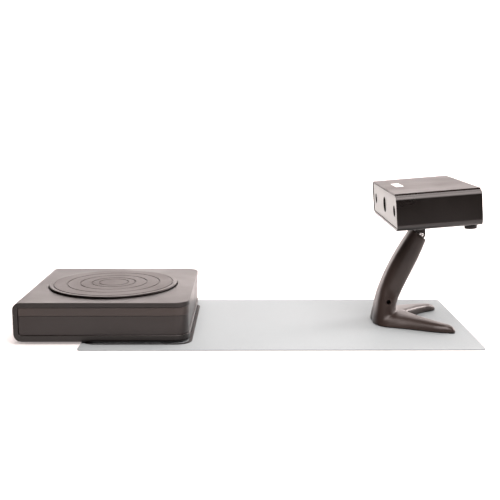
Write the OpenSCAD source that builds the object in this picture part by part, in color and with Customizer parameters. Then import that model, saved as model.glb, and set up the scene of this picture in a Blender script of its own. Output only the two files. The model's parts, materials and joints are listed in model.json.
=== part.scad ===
// Desktop 3d scanner: a square turntable and a scanning head on a forked stand,
// both set on one thin locating plate. Millimetres, +Z up, the table top at z = 0.
// The origin lies under the middle of the whole length and the middle of the plate's width.
// The turntable is at -X, the scanning head at +X and looks back along -X.

/* [Plate] */
// Length of the locating plate
plate_l = 480; // [440:1:520]
// Width of the locating plate, front to back
plate_w = 250; // [230:1:290]
// Thickness of the locating plate
plate_t = 1.5; // [1:0.1:3]
// Corner radius of the locating plate
plate_r = 6; // [2:0.5:12]
// Length of plate that runs under the turntable
plate_lap = 130; // [120:1:150]
// Centreline of turntable and scanner, from the plate's middle line
axis_y = 5; // [-5:0.5:10]
// Width of the dark locating strip
strip_w = 4; // [2:0.5:6]
// Thickness of the dark locating strip
strip_t = 0.6; // [0.3:0.1:0.9]
// How far the strip stands out past the turntable's front
strip_out = 4.2; // [3:0.1:8]
// How far the strip stands out past the turntable's right side
strip_right = 3; // [2:0.1:8]
// How far the strip's back run lies inside the turntable's back
strip_back = 9; // [4:0.5:20]

/* [Turntable] */
// Side of the square turntable
table_w = 210; // [190:1:240]
// Gap between the turntable's underside and the plate
table_gap = 1.2; // [1:0.1:3]
// Thickness of the outer wrap's top
wrap_top_t = 6; // [5:0.5:9]
// Thickness of the outer wrap's left end
wrap_end_t = 6.3; // [4:0.1:9]
// Thickness of the outer wrap's bottom
wrap_base_t = 9; // [6:0.5:12]
// Height of the upper frame, the lighter band
band_h = 10.2; // [9.5:0.1:14]
// Height of the lower frame, the dark panel
panel_h = 23.6; // [23:0.1:32]
// Plan radius of the turntable's two right corners
corner_r = 18; // [12:1:24]
// Radius of the wrap's top left edge
end_top_r = 9; // [6:0.5:12]
// Radius of the wrap's bottom left edge
end_base_r = 11; // [8:0.5:14]
// Radius under the wrap's front, right and back edges
roll_r = 4; // [2:0.5:5]
// Step back of the upper frame from the wrap
band_inset = 0.8; // [0.4:0.1:2]
// Step back of the lower frame from the wrap
panel_inset = 1.3; // [0.6:0.1:3]
// Wall of the two frames
frame_wall = 2.5; // [2:0.1:4]
// Floor of the lower frame
frame_floor = 2; // [1.5:0.1:3]
// Roof of the upper frame
frame_roof = 1.5; // [1:0.1:1.8]
// Radius of the round feet
foot_r = 7; // [5:0.5:10]
// Distance of each foot from the turntable's middle, both ways
foot_pitch = 80; // [70:1:88]
// Depth of the feet's seats in the underside
foot_seat = 1.5; // [1:0.1:3]

/* [Platter] */
// Radius of the platter
platter_r = 82.4; // [70:0.2:88]
// Gap round the platter
platter_gap = 1; // [0.6:0.1:2]
// How far the platter stands above the turntable's top
platter_rise = 2.5; // [1.5:0.1:5]
// Thickness of the platter
platter_t = 7; // [6:0.1:8]
// Radius of the rubber mat
mat_r = 77; // [60:0.5:78]
// Thickness of the rubber mat
mat_t = 1.5; // [1:0.1:3]
// How far the mat stands above the platter's rim
mat_rise = 0.3; // [0.1:0.1:0.8]
// Radii of the circles cut in the mat
mat_circles = [59.5, 43, 28, 19]; // [10:0.5:74]
// Width of the circles cut in the mat
groove_w = 0.9; // [0.5:0.1:2]
// Depth of the circles cut in the mat
groove_d = 0.6; // [0.3:0.1:0.9]

/* [Drive] */
// Radius of the platter's shaft
shaft_r = 4; // [3:0.5:6]
// Radial wall of the shaft's bushes
bush_wall = 2; // [1.5:0.5:3]
// Length of each bush
bush_l = 6; // [4:0.5:7]
// Outside radius of the bearing housing
housing_r = 10; // [9:0.5:12]
// Radius of the large pulley under the platter
pulley_r = 35; // [28:1:40]
// Radius of the motor's pulley
pinion_r = 7; // [6:0.5:9]
// Distance from the platter's axis to the motor's axis
drive_span = 68; // [64:1:68]
// Width of the drive belt
belt_w = 5; // [4:0.5:5.5]
// Thickness of the drive belt
belt_t = 1.4; // [1:0.1:2]
// Thickness of the pulleys' flanges
flange_t = 0.8; // [0.6:0.1:1]
// How far the pulleys' flanges stand out past the belt's inside
flange_out = 2.4; // [2:0.1:3]
// Side of the square motor
motor_w = 42; // [35:1:44]
// Height of the motor
motor_h = 19; // [16:0.5:19]
// Radius of the motor's shaft
motor_shaft_r = 2.5; // [2:0.5:3]
// Length of the steel deck that carries the drive
deck_l = 150; // [146:1:156]
// Width of the steel deck
deck_w = 96; // [90:1:110]
// Thickness of the steel deck
deck_t = 2; // [1.5:0.1:2.5]

/* [Stand] */
// Distance of the tilt hinge from the plate's right edge
hinge_in = 56.8; // [54:0.2:70]
// Height of the tilt hinge above the plate
hinge_h = 117.2; // [105:0.2:135]
// Distance of the stand's toe in front of the tilt hinge
toe_reach = 56.7; // [50:0.1:65]
// Depth of the stand's foot at the middle, toe to heel
heel_l = 30.5; // [26:0.5:36]
// Half width of the arm at its foot
arm_foot_w = 21.5; // [19:0.5:26]
// Half width of the arm at its top
arm_top_w = 17; // [15.5:0.5:22]
// Distance from the toe to the tips of the legs
leg_reach = 94.5; // [85:0.5:105]
// Half the spread of the legs
leg_spread = 64.5; // [55:0.5:80]
// Height of the legs where they leave the arm
leg_root_h = 26; // [20:1:30]
// Height of the legs at their tips
leg_tip_h = 8; // [7:0.5:12]
// Thickness of the sole pads
pad_t = 0.6; // [0.4:0.1:2]
// Wall of the mouth at the arm's top
mouth_wall = 1.4; // [1.2:0.1:1.8]
// Depth of the mouth at the arm's top
mouth_d = 15; // [12:0.5:20]
// Half width of the steel spine inside the arm
spine_r = 6.5; // [5:0.5:7]
// Thickness of the steel spine
spine_t = 14; // [10:0.5:16]
// Thickness of the steel ballast in the sole
ballast_t = 3; // [2:0.5:4]

/* [Tilt hinge] */
// Radius of the hinge bolt
bolt_r = 2; // [1.5:0.25:2.5]
// Radius of the hinge bolt's head
bolt_head_r = 3.5; // [3:0.25:4.5]
// Height of the hinge bolt's head
bolt_head_h = 2.3; // [1.5:0.1:2.8]
// Half width of the bracket's ears
ear_r = 6.4; // [5.5:0.1:6.6]
// Thickness of the bracket's ears
ear_t = 3; // [2:0.5:3]
// Thickness of the washers between ears and spine
washer_t = 0.5; // [0.4:0.1:1]
// Thickness of the bracket's base
bracket_t = 2.5; // [2:0.1:4]
// Length of the bracket's base, front to back
bracket_l = 34; // [26:1:44]
// Width of the bracket's base
bracket_w = 46; // [38:1:60]
// How far the head's nose is tipped down at rest, in degrees
tilt = 4.6; // [0:0.1:10]

/* [Scanning head] */
// Length of the head, front to back
head_l = 102; // [95:1:106]
// Width of the head
head_w = 184; // [170:1:210]
// Height of the head
head_h = 44.6; // [42:0.2:54]
// Distance of the tilt hinge behind the head's front
hinge_back = 43.6; // [40:0.2:48]
// Distance of the tilt hinge below the head's underside
hinge_drop = 19; // [17:0.5:24]
// Wall of the head's shell
shell_wall = 2.8; // [2:0.1:4]
// Radius of the shell's lower long edges
shell_base_r = 8; // [6:0.5:10]
// Radius of the shell's upper long edges
shell_top_r = 6.5; // [5:0.5:9]
// Thickness of the top cover
cover_t = 2.6; // [2:0.1:3]
// Width of each long shoulder beside the top cover
shoulder_w = 7; // [6.8:0.1:12]
// Gap round the top cover
cover_gap = 0.5; // [0.3:0.1:1]
// Thickness of the front plate
face_t = 2; // [1.5:0.1:3]
// Step back of the front plate from the shell's edge
face_inset = 1; // [0.5:0.1:2]
// Thickness of the rear panel
rear_t = 2; // [1.5:0.1:3]
// Step back of the rear panel from the shell's edge
rear_inset = 1.5; // [1:0.1:3]
// Distance of each camera from the head's end
camera_in = 23; // [20:0.5:32]
// Radius of the camera windows
camera_r = 6.75; // [5:0.25:8]
// Radius of the projector window
projector_r = 10; // [8:0.5:12]
// Radius of the round pads under the head's rear
head_pad_r = 7.5; // [5:0.5:10]
// Height of the round pads under the head's rear
head_pad_h = 5; // [3:0.5:6]

/* [Rear connections] */
// Radius of the power inlet's mouth
jack_r = 3; // [2.5:0.1:3.5]
// Depth of the power inlet's mouth
jack_d = 9; // [8:0.5:10]
// Radius of the power button
button_r = 5; // [4:0.5:6]
// Travel of the power button
button_travel = 1.2; // [0.8:0.1:1.5]
// Side of the square cooling fan
fan_w = 36; // [30:1:36]
// Depth of the cooling fan
fan_t = 10; // [8:0.5:12]
// Number of fan blades
fan_blades = 7; // [5:1:9]

/* [Hidden] */

$fn = 96;
slip = 0.3;          // gap between pieces that slide together by hand
fit = 0.05;          // radial gap of a running shaft, or of a screw in its hole
rub = 0.1;           // gap between faces that run against each other
over = 1;            // how far a cut runs past a face
eps = 0.01;          // overlap of two forms that make one piece
eye_out = 0.5;       // how far the eye at a strip's end stands out past its sides

// places along the whole object
overall_l = table_w + plate_l - plate_lap;
right_x = overall_l / 2;
left_x = -right_x;
plate_x = right_x - plate_l;
table_x = left_x + table_w / 2;

// heights of the turntable's layers
base_z = plate_t + table_gap;
panel_z = base_z + wrap_base_t;
band_z = panel_z + panel_h;
roof_z = band_z + band_h;
table_top_z = roof_z + wrap_top_t;
platter_top_z = table_top_z + platter_rise;
platter_z = platter_top_z - platter_t;
mat_z = platter_top_z - mat_t + mat_rise;
deck_z = band_z - deck_t;
washer_h = 0.5;
pulley_z = band_z + washer_h + rub;
belt_play = 0.2;
belt_z = pulley_z + flange_t + belt_play;
pulley_h = 2 * flange_t + belt_w + 2 * belt_play;

// screws, and the bosses that they go into
m3_r = 1.5;
m3_head_r = 2.75;
m3_head_h = 2;
m3_bore_r = m3_r + fit;
m2_r = 1;
m2_head_r = 1.9;
m2_head_h = 1.3;
boss_r = 4;
small_boss_r = 3;
base_screw_pitch = 62;
base_screw_sink = 3;
base_screw_grip = 6;
deck_screw_in = 6;
deck_screw_grip = 8;
board_screw_grip = 4;

// wrap, frames and feet of the turntable
foot_rim = 3;
foot_hollow = 0.5;
channel_r = 3;
channel_past = 20;
motor_x = -drive_span;
deck_margin = 4;
deck_x = motor_x - motor_w / 2 - deck_margin;

// places of the scanner
hinge_x = right_x - hinge_in;
hinge_z = plate_t + hinge_h;
toe_x = hinge_x - toe_reach;
face_x = -head_l / 2 + face_inset;
rear_x = head_l / 2 - rear_inset;
under_z = -head_h / 2;
floor_z = under_z + shell_wall;
ledge_t = 2.2;
ledge_z = head_h / 2 - cover_t - ledge_t;
cover_half = head_w / 2 - shoulder_w;
camera_pitch = head_w / 2 - camera_in;
panel_half = head_w / 2 - shell_wall - slip;
panel_high = head_h / 2 - cover_t - slip;

// ---------- shapes that repeat ----------

// rectangle between two corners, with one radius at all four of them
module plan(x0, y0, x1, y1, r) {
    for (x = [x0 + r, x1 - r], y = [y0 + r, y1 - r]) translate([x, y]) circle(r);
    translate([x0 + r, y0]) square([x1 - x0 - 2 * r, y1 - y0]);
    translate([x0, y0 + r]) square([x1 - x0, y1 - y0 - 2 * r]);
}

// rectangle of a given size about the origin, with one radius at its corners
module plate2(x, y, r) { plan(-x / 2, -y / 2, x / 2, y / 2, r); }

// block about the origin in plan, standing on z = 0
module block(x, y, z) { translate([-x / 2, -y / 2, 0]) cube([x, y, z]); }

// direction of a line of points at point i, stretched so that a strip along it keeps its width
function way(line, i) = let (last = len(line) - 1,
    a = line[i] - line[max(i - 1, 0)], b = line[min(i + 1, last)] - line[i],
    u = i == 0 ? b / norm(b) : a / norm(a), v = i == last ? u : b / norm(b),
    m = (u + v) / norm(u + v)) m / (m * u);

// one edge of a strip that runs r to the side of a line of points
function edge_of(line, r) = [for (i = [0 : len(line) - 1])
    let (d = way(line, i)) line[i] + r * [-d[1], d[0]]];

// strip of half width r along a line of points, with a round eye at its far end
module strip(line, r) {
    left = edge_of(line, r);
    right = edge_of(line, -r);
    polygon(concat(right, [for (i = [len(left) - 1 : -1 : 0]) left[i]]));
    translate(line[len(line) - 1]) circle(r + eye_out);
}

// copies at the four corners of a rectangle about the origin
module at_corners(x, y) { for (i = [-1, 1], j = [-1, 1]) translate([i * x, j * y, 0]) children(); }

// pan-head screw pointing down, its head's underside at z = 0
module screw(r, l, head_r, head_h) {
    difference() {
        union() {
            translate([0, 0, -l]) cylinder(r = r, h = l);
            cylinder(r = head_r, h = head_h);
        }
        translate([0, 0, head_h * 0.4]) cylinder(r = head_r * 0.5, h = head_h, $fn = 6);
    }
}

// the turntable's own frame: its middle in plan, z still counted from the table top
module in_table() { translate([table_x, axis_y, 0]) children(); }

// the stand's own frame: the toe on the plate, x running back towards the heel
module in_stand() { translate([toe_x, axis_y, plate_t]) children(); }

// the head's own frame: its middle, x front to back, tipped about the hinge
module in_head() {
    translate([hinge_x, axis_y, hinge_z]) rotate([0, -tilt, 0])
        translate([head_l / 2 - hinge_back, 0, hinge_drop + head_h / 2]) children();
}

// the hinge's own frame, tipped with the head
module in_hinge() { translate([hinge_x, axis_y, hinge_z]) rotate([0, -tilt, 0]) children(); }

// ---------- locating plate ----------

module locating_plate() {
    color([0.84, 0.84, 0.84]) difference() {
        linear_extrude(plate_t) plan(plate_x, -plate_w / 2, right_x, plate_w / 2, plate_r);
        in_table() for (j = [-1, 1]) translate([foot_pitch, j * foot_pitch, -over])
            cylinder(r = foot_r + slip, h = plate_t + 2 * over);
    }
}

module locating_strip() {
    strip_x0 = plate_x - table_x;
    strip_x1 = table_w / 2 + strip_right;
    strip_y0 = -table_w / 2 - strip_out;
    strip_y1 = table_w / 2 - strip_back;
    color([0.16, 0.16, 0.16]) in_table() translate([0, 0, plate_t])
    linear_extrude(strip_t) difference() {
        plan(strip_x0, strip_y0, strip_x1, strip_y1, corner_r);
        plan(strip_x0 + strip_w, strip_y0 + strip_w, strip_x1 - strip_w, strip_y1 - strip_w,
            corner_r - strip_w);
    }
}

// ---------- turntable ----------

// section of a slab's edge, 0 to w wide and h high, its lower outer edge rolled
module rolled_edge(w, h, r) {
    translate([0, r]) square([w, h - r]);
    square([w - r, h]);
    translate([w - r, r]) circle(r);
}

// slab with square left corners, round right corners and a rolled lower edge
module rolled_slab(w, h, rc, re) {
    half = w / 2;
    translate([-half, -half + rc, 0]) cube([w - rc, w - 2 * rc, h]);
    for (j = [0, 1]) mirror([0, j, 0]) {
        translate([-half, -half + rc, 0]) rotate([90, 0, 90]) linear_extrude(w - rc)
            mirror([1, 0]) rolled_edge(rc, h, re);
        translate([half - rc, -half + rc, 0]) rotate([0, 0, -90]) rotate_extrude(angle = 90)
            rolled_edge(rc, h, re);
    }
    translate([half - rc, half - rc, 0]) rotate([90, 0, 0]) linear_extrude(w - 2 * rc)
        rolled_edge(rc, h, re);
}

// side view of the wrap: two slabs joined by a round left end, open to the right
module wrap_section() {
    half = table_w / 2;
    difference() {
        union() {
            translate([-half + end_base_r, base_z + end_base_r]) circle(end_base_r);
            translate([-half + end_top_r, table_top_z - end_top_r]) circle(end_top_r);
            translate([-half + end_base_r, base_z]) square([table_w - end_base_r, table_top_z - base_z]);
            translate([-half + end_top_r, base_z + end_base_r])
                square([end_base_r, table_top_z - base_z - end_base_r]);
            translate([-half, base_z + end_base_r])
                square([end_base_r, table_top_z - base_z - end_base_r - end_top_r]);
        }
        plan(-half + wrap_end_t, panel_z, half + channel_past, roof_z, channel_r);
    }
}

module turntable_wrap() {
    half = table_w / 2;
    color([0.17, 0.16, 0.15]) in_table() difference() {
        intersection() {
            translate([0, half, 0]) rotate([90, 0, 0]) linear_extrude(table_w) wrap_section();
            translate([0, 0, base_z]) rolled_slab(table_w, table_top_z - base_z, corner_r, roll_r);
        }
        translate([0, 0, roof_z - over])
            cylinder(r = platter_r + platter_gap, h = wrap_top_t + 2 * over);
        at_corners(foot_pitch, foot_pitch) translate([0, 0, base_z - over])
            cylinder(r = foot_r + fit, h = foot_seat + over);
        at_corners(base_screw_pitch, base_screw_pitch) translate([0, 0, base_z - over]) {
            cylinder(r = m3_head_r + slip, h = base_screw_sink + over);
            cylinder(r = m3_bore_r, h = wrap_base_t + 2 * over);
        }
    }
}

// outline of a frame of the turntable, stepped back from the wrap and brought in by a wall
module frame_plan(inset, wall) {
    r = corner_r - inset - wall;
    x0 = -table_w / 2 + wrap_end_t + slip + wall;
    x1 = table_w / 2 - inset - wall;
    y1 = x1;
    for (j = [-1, 1]) translate([x1 - r, j * (y1 - r)]) circle(r);
    translate([x0, -y1]) square([x1 - r - x0, 2 * y1]);
    translate([x0, -y1 + r]) square([x1 - x0, 2 * (y1 - r)]);
}

// lets a frame clear the wrap's rounded inner corners at the left end
module inner_end() {
    half = table_w / 2;
    translate([0, half + over, 0]) rotate([90, 0, 0]) linear_extrude(table_w + 2 * over)
        plan(-half + wrap_end_t + slip, panel_z, half + channel_past, roof_z, channel_r);
}

module at_deck_corners() {
    for (x = [deck_x + deck_screw_in, deck_x + deck_l - deck_screw_in], j = [-1, 1])
        translate([x, j * (deck_w / 2 - deck_screw_in), 0]) children();
}

module turntable_lower_frame() {
    color([0.19, 0.18, 0.17]) in_table() difference() {
        union() {
            intersection() {
                translate([0, 0, panel_z]) difference() {
                    linear_extrude(panel_h) frame_plan(panel_inset, 0);
                    translate([0, 0, frame_floor])
                        linear_extrude(panel_h) frame_plan(panel_inset, frame_wall);
                }
                inner_end();
            }
            translate([0, 0, panel_z + frame_floor - eps]) {
                at_deck_corners() cylinder(r = boss_r, h = deck_z - panel_z - frame_floor + eps);
                at_corners(base_screw_pitch, base_screw_pitch)
                    cylinder(r = boss_r, h = base_screw_grip);
                at_board_holes() cylinder(r = small_boss_r, h = board_lift + eps);
            }
        }
        at_deck_corners() translate([0, 0, deck_z - deck_screw_grip - slip])
            cylinder(r = m3_bore_r, h = deck_screw_grip + slip + over);
        at_corners(base_screw_pitch, base_screw_pitch) translate([0, 0, panel_z - over])
            cylinder(r = m3_bore_r, h = base_screw_grip + slip + over);
        at_board_holes() translate([0, 0, board_z - board_screw_grip - slip])
            cylinder(r = m2_r + fit, h = board_screw_grip + slip + over);
        translate([board_x, table_w / 2, socket_z]) rotate([90, 0, 0])
            cylinder(r = socket_r + fit, h = panel_inset + frame_wall + over);
    }
}

module turntable_upper_frame() {
    color([0.25, 0.24, 0.23]) in_table() intersection() {
        difference() {
            translate([0, 0, band_z]) linear_extrude(band_h) frame_plan(band_inset, 0);
            translate([0, 0, band_z - over])
                linear_extrude(band_h - frame_roof + over) frame_plan(band_inset, frame_wall);
            translate([0, 0, band_z]) cylinder(r = hub_r + hub_gap, h = band_h + over);
        }
        inner_end();
    }
}

module turntable_feet() {
    color([0.08, 0.08, 0.08]) in_table() at_corners(foot_pitch, foot_pitch) difference() {
        cylinder(r = foot_r, h = base_z + foot_seat);
        translate([0, 0, -over]) cylinder(r = foot_r - foot_rim, h = foot_hollow + over);
    }
}

module turntable_base_screws() {
    color([0.5, 0.5, 0.5]) in_table() at_corners(base_screw_pitch, base_screw_pitch)
        translate([0, 0, base_z + base_screw_sink]) mirror([0, 0, 1])
            screw(m3_r, wrap_base_t - base_screw_sink + base_screw_grip, m3_head_r, m3_head_h);
}

// ---------- platter and its bearing ----------

hub_r = 13;
hub_gap = 4;
hub_z = pulley_z + pulley_h;
shaft_grip = 6;
shaft_z = panel_z + frame_floor + 1;
housing_drop = 15;
housing_z = deck_z - housing_drop;
housing_rim = 6;
housing_rim_t = 3;

module platter() {
    color([0.55, 0.53, 0.52]) in_table() difference() {
        union() {
            translate([0, 0, platter_z]) cylinder(r = platter_r, h = platter_t, $fn = 180);
            translate([0, 0, hub_z]) cylinder(r = hub_r, h = platter_z - hub_z + eps);
        }
        translate([0, 0, mat_z]) cylinder(r = mat_r + slip, h = mat_t, $fn = 180);
        translate([0, 0, hub_z - over]) cylinder(r = shaft_r + fit / 2, h = shaft_grip + over);
    }
}

module platter_mat() {
    color([0.6, 0.58, 0.57]) in_table() translate([0, 0, mat_z]) difference() {
        cylinder(r = mat_r, h = mat_t, $fn = 180);
        for (r = mat_circles) translate([0, 0, mat_t - groove_d]) difference() {
            cylinder(r = r + groove_w / 2, h = mat_t, $fn = 180);
            translate([0, 0, -over]) cylinder(r = r - groove_w / 2, h = mat_t + 2 * over, $fn = 180);
        }
    }
}

module platter_shaft() {
    color([0.75, 0.75, 0.76]) in_table() translate([0, 0, shaft_z])
        cylinder(r = shaft_r, h = hub_z + shaft_grip - shaft_z);
}

module shaft_bushes() {
    color([0.72, 0.55, 0.3]) in_table()
        for (z = [housing_z, deck_z + deck_t - bush_l]) translate([0, 0, z]) difference() {
            cylinder(r = shaft_r + bush_wall, h = bush_l);
            translate([0, 0, -over]) cylinder(r = shaft_r + fit, h = bush_l + 2 * over);
        }
}

module bearing_housing() {
    housing_h = deck_z + deck_t - housing_z;
    color([0.6, 0.6, 0.6]) in_table() difference() {
        union() {
            translate([0, 0, housing_z]) cylinder(r = housing_r, h = housing_h);
            translate([0, 0, deck_z - housing_rim_t])
                cylinder(r = housing_r + housing_rim, h = housing_rim_t);
        }
        translate([0, 0, housing_z - over])
            cylinder(r = shaft_r + bush_wall + fit / 2, h = housing_h + 2 * over);
    }
}

module thrust_washer() {
    color([0.85, 0.85, 0.8]) in_table() translate([0, 0, band_z]) difference() {
        cylinder(r = housing_r - 1, h = washer_h);
        translate([0, 0, -over]) cylinder(r = shaft_r + fit, h = washer_h + 2 * over);
    }
}

// flanged pulley standing on z = 0, with a bore through it
module pulley(r, bore) {
    difference() {
        union() {
            cylinder(r = r + flange_out, h = flange_t);
            cylinder(r = r, h = pulley_h);
            translate([0, 0, pulley_h - flange_t]) cylinder(r = r + flange_out, h = flange_t);
        }
        translate([0, 0, -over]) cylinder(r = bore, h = pulley_h + 2 * over);
    }
}

module drive_pulley() {
    color([0.2, 0.2, 0.22]) in_table() translate([0, 0, pulley_z]) pulley(pulley_r, shaft_r + fit / 2);
}

module motor_pulley() {
    color([0.7, 0.7, 0.72]) in_table() translate([motor_x, 0, pulley_z])
        pulley(pinion_r, motor_shaft_r + fit / 2);
}

// outline round both pulleys, grown outwards by g
module belt_outline(g) {
    hull() {
        circle(pulley_r + g);
        translate([motor_x, 0]) circle(pinion_r + g);
    }
}

module drive_belt() {
    color([0.1, 0.1, 0.1]) in_table() translate([0, 0, belt_z]) linear_extrude(belt_w) difference() {
        belt_outline(slip + belt_t);
        belt_outline(slip);
    }
}

module motor_shaft() {
    low_z = deck_z - motor_h + motor_base_t + rub;
    color([0.8, 0.8, 0.82]) in_table() translate([motor_x, 0, low_z])
        cylinder(r = motor_shaft_r, h = pulley_z + pulley_h - low_z);
}

pilot_r = 11;
motor_base_t = 0.9;
motor_corner_r = 4;
motor_hole_pitch = 15.5;
motor_screw_grip = 4;
motor_head_h = 1.1;
deck_corner_r = 5;

module turntable_motor() {
    color([0.25, 0.25, 0.26]) in_table() translate([motor_x, 0, deck_z - motor_h]) difference() {
        union() {
            linear_extrude(motor_h) plate2(motor_w, motor_w, motor_corner_r);
            cylinder(r = pilot_r, h = motor_h + deck_t - rub);
        }
        translate([0, 0, motor_base_t]) cylinder(r = motor_shaft_r + fit, h = motor_h + deck_t);
        at_corners(motor_hole_pitch, motor_hole_pitch)
            translate([0, 0, motor_h - motor_screw_grip - slip])
                cylinder(r = m3_bore_r, h = motor_screw_grip + slip + over);
    }
}

module mechanism_deck() {
    cut_h = deck_t + 2 * over;
    color([0.68, 0.69, 0.7]) in_table() translate([0, 0, deck_z]) difference() {
        linear_extrude(deck_t) plan(deck_x, -deck_w / 2, deck_x + deck_l, deck_w / 2, deck_corner_r);
        translate([0, 0, -over]) {
            cylinder(r = housing_r + fit, h = cut_h);
            translate([motor_x, 0, 0]) cylinder(r = pilot_r + fit, h = cut_h);
            translate([motor_x, 0, 0]) at_corners(motor_hole_pitch, motor_hole_pitch)
                cylinder(r = m3_bore_r, h = cut_h);
            at_deck_corners() cylinder(r = m3_bore_r, h = cut_h);
        }
    }
}

module motor_screws() {
    color([0.5, 0.5, 0.5]) in_table() translate([motor_x, 0, deck_z + deck_t])
        at_corners(motor_hole_pitch, motor_hole_pitch)
            screw(m3_r, deck_t + motor_screw_grip, m3_head_r, motor_head_h);
}

module deck_screws() {
    color([0.5, 0.5, 0.5]) in_table() translate([0, 0, deck_z + deck_t])
        at_deck_corners() screw(m3_r, deck_t + deck_screw_grip, m3_head_r, m3_head_h);
}

// ---------- turntable electronics ----------

board_l = 60;
board_w = 34;
board_t = 1.6;
board_lift = 4;
board_hole_in = 4;
board_gap = 1;
board_side_gap = 14.5;
board_x = table_w / 2 - frame_wall - board_l / 2 - board_side_gap;
board_y = table_w / 2 - panel_inset - frame_wall - board_w / 2 - board_gap;
board_z = panel_z + frame_floor + board_lift;
chip_w = 12;
chip_h = 2.2;
coil_w = 9;
coil_h = 8;
socket_r = 5;
socket_lift = 1;
socket_w = 11;
socket_l = 12;
socket_z = board_z + board_t + socket_r + socket_lift;

module at_board_holes() {
    translate([board_x, board_y, 0])
        at_corners(board_l / 2 - board_hole_in, board_w / 2 - board_hole_in) children();
}

module driver_board() {
    color([0.1, 0.35, 0.2]) in_table() difference() {
        translate([board_x, board_y, board_z]) {
            block(board_l, board_w, board_t);
            translate([-board_l / 4, -board_w / 8, board_t]) block(chip_w, chip_w, chip_h);
            translate([board_l / 5, -board_w / 5, board_t]) block(coil_w, coil_w, coil_h);
        }
        translate([0, 0, board_z - over]) at_board_holes()
            cylinder(r = m2_r + fit, h = board_t + 2 * over);
    }
}

module driver_board_screws() {
    color([0.6, 0.6, 0.6]) in_table() translate([0, 0, board_z + board_t])
        at_board_holes() screw(m2_r, board_t + board_screw_grip, m2_head_r, m2_head_h);
}

module turntable_socket() {
    wall_y = table_w / 2 - panel_inset;
    color([0.07, 0.07, 0.07]) in_table() difference() {
        union() {
            translate([board_x, wall_y, socket_z]) rotate([90, 0, 0])
                cylinder(r = socket_r, h = frame_wall + board_gap + over);
            translate([board_x, wall_y - frame_wall - board_gap - socket_l / 2, board_z + board_t])
                block(socket_w, socket_l, 2 * socket_r + socket_lift);
        }
        translate([board_x, wall_y + over, socket_z]) rotate([90, 0, 0])
            cylinder(r = jack_r, h = jack_d + over);
    }
}

// ---------- stand ----------

// point at t on a cubic curve through p[0] and p[3]
function curve(p, t) = pow(1 - t, 3) * p[0] + 3 * pow(1 - t, 2) * t * p[1]
    + 3 * (1 - t) * t * t * p[2] + pow(t, 3) * p[3];
// keeps the sign of a power, for rounded squares
function soft(v, e) = sign(v) * pow(abs(v), e);

// the lips of the mouth at the arm's top, from the hinge bolt
lip_front = [-10.5, 6.7];
lip_rear = [7.8, -7.2];
// from the outer to the inner edge of a leg's tip
tip_across = [11, 10.5];

// side view of the arm: its front and rear edges, x from the toe and z from the plate
mouth_front = [toe_reach, hinge_h] + lip_front;
mouth_rear = [toe_reach, hinge_h] + lip_rear;
arm_front = [[0, pad_t], [0, hinge_h * 0.34],
    mouth_front - [toe_reach * 0.53, hinge_h * 0.385], mouth_front];
arm_rear = [[heel_l, pad_t], [heel_l * 0.5, hinge_h * 0.19],
    mouth_rear - [toe_reach * 0.29, hinge_h * 0.427], mouth_rear];
// plan view of a leg: its outer and inner edges on the sole
leg_outer = [[heel_l / 12, arm_foot_w * 0.7], [heel_l * 0.9, arm_foot_w * 1.25],
    [leg_reach / 3, leg_spread], [leg_reach - tip_across[0], leg_spread]];
leg_inner = [[heel_l * 1.23, 0], [leg_reach * 0.565, heel_l * 0.4],
    [leg_reach * 0.705, leg_spread * 0.59], [leg_reach, leg_spread - tip_across[1]]];

function arm_middle(t) = (curve(arm_front, t) + curve(arm_rear, t)) / 2;
function arm_half(t) = norm(curve(arm_rear, t) - curve(arm_front, t)) / 2;
function arm_lean(t) = (curve(arm_rear, t) - curve(arm_front, t)) / (2 * arm_half(t));
function arm_side(t) = arm_foot_w + (arm_top_w - arm_foot_w) * sin(90 * t);

// rounded-square ring across the arm at t, brought in by a wall
function arm_ring(t, wall, count) = [for (k = [0 : count - 1])
    let (a = 360 * k / count,
        u = (arm_half(t) - wall) * soft(cos(a), 0.75),
        v = (arm_side(t) - wall) * soft(sin(a), 0.75),
        m = arm_middle(t), d = arm_lean(t))
    [m[0] + d[0] * u, v, m[1] + d[1] * u]];

// arched ring across a leg at t, flat on the sole
function leg_ring(t, side, count) = [for (k = [0 : count - 1])
    let (a = 180 * k / (count - 1),
        outer = curve(leg_outer, t), inner = curve(leg_inner, t),
        m = (outer + inner) / 2, d = (outer - inner) / 2,
        h = leg_tip_h + (leg_root_h - leg_tip_h) * pow(1 - t, 2),
        u = soft(cos(a), 0.8))
    [m[0] + d[0] * u, side * (m[1] + d[1] * u), pad_t + (h - pad_t) * pow(sin(a), 0.8)]];

// rounded end of a leg: the last ring swung forwards about its own middle
function tip_ring(f, side, count) =
    let (outer = leg_outer[3], inner = leg_inner[3], m = (outer + inner) / 2,
        half = norm(outer - inner) / 2, d = (outer - inner) / (2 * half), ahead = [d[1], -d[0]])
    [for (k = [0 : count - 1])
        let (a = 180 * k / (count - 1), u = soft(cos(a), 0.8) * half * cos(f),
            p = m + d * u + (ahead[0] < 0 ? -ahead : ahead) * half * sin(f))
        [p[0], side * p[1], pad_t + (leg_tip_h - pad_t) * pow(sin(a), 0.8) * pow(cos(f), 0.6)]];

// closed skin over a row of rings, each with the same number of points
module loft(rings, flip) {
    n = len(rings[0]);
    last = len(rings) - 1;
    sides = [for (i = [0 : last - 1], k = [0 : n - 1])
        let (a = i * n + k, b = i * n + (k + 1) % n)
        each [[a, b + n, b], [a, a + n, b + n]]];
    ends = [for (k = [1 : n - 2]) each [[0, k, k + 1], [last * n, last * n + k + 1, last * n + k]]];
    faces = concat(sides, ends);
    polyhedron(points = [for (r = rings) each r],
        faces = flip ? [for (f = faces) [f[2], f[1], f[0]]] : faces);
}

arm_steps = 16;
arm_points = 32;
leg_steps = 10;
leg_points = 15;
tip_turns = [25, 50, 70, 84];
mouth_steps = 4;
mouth_points = 32;
mouth_end = 1.012;

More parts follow.
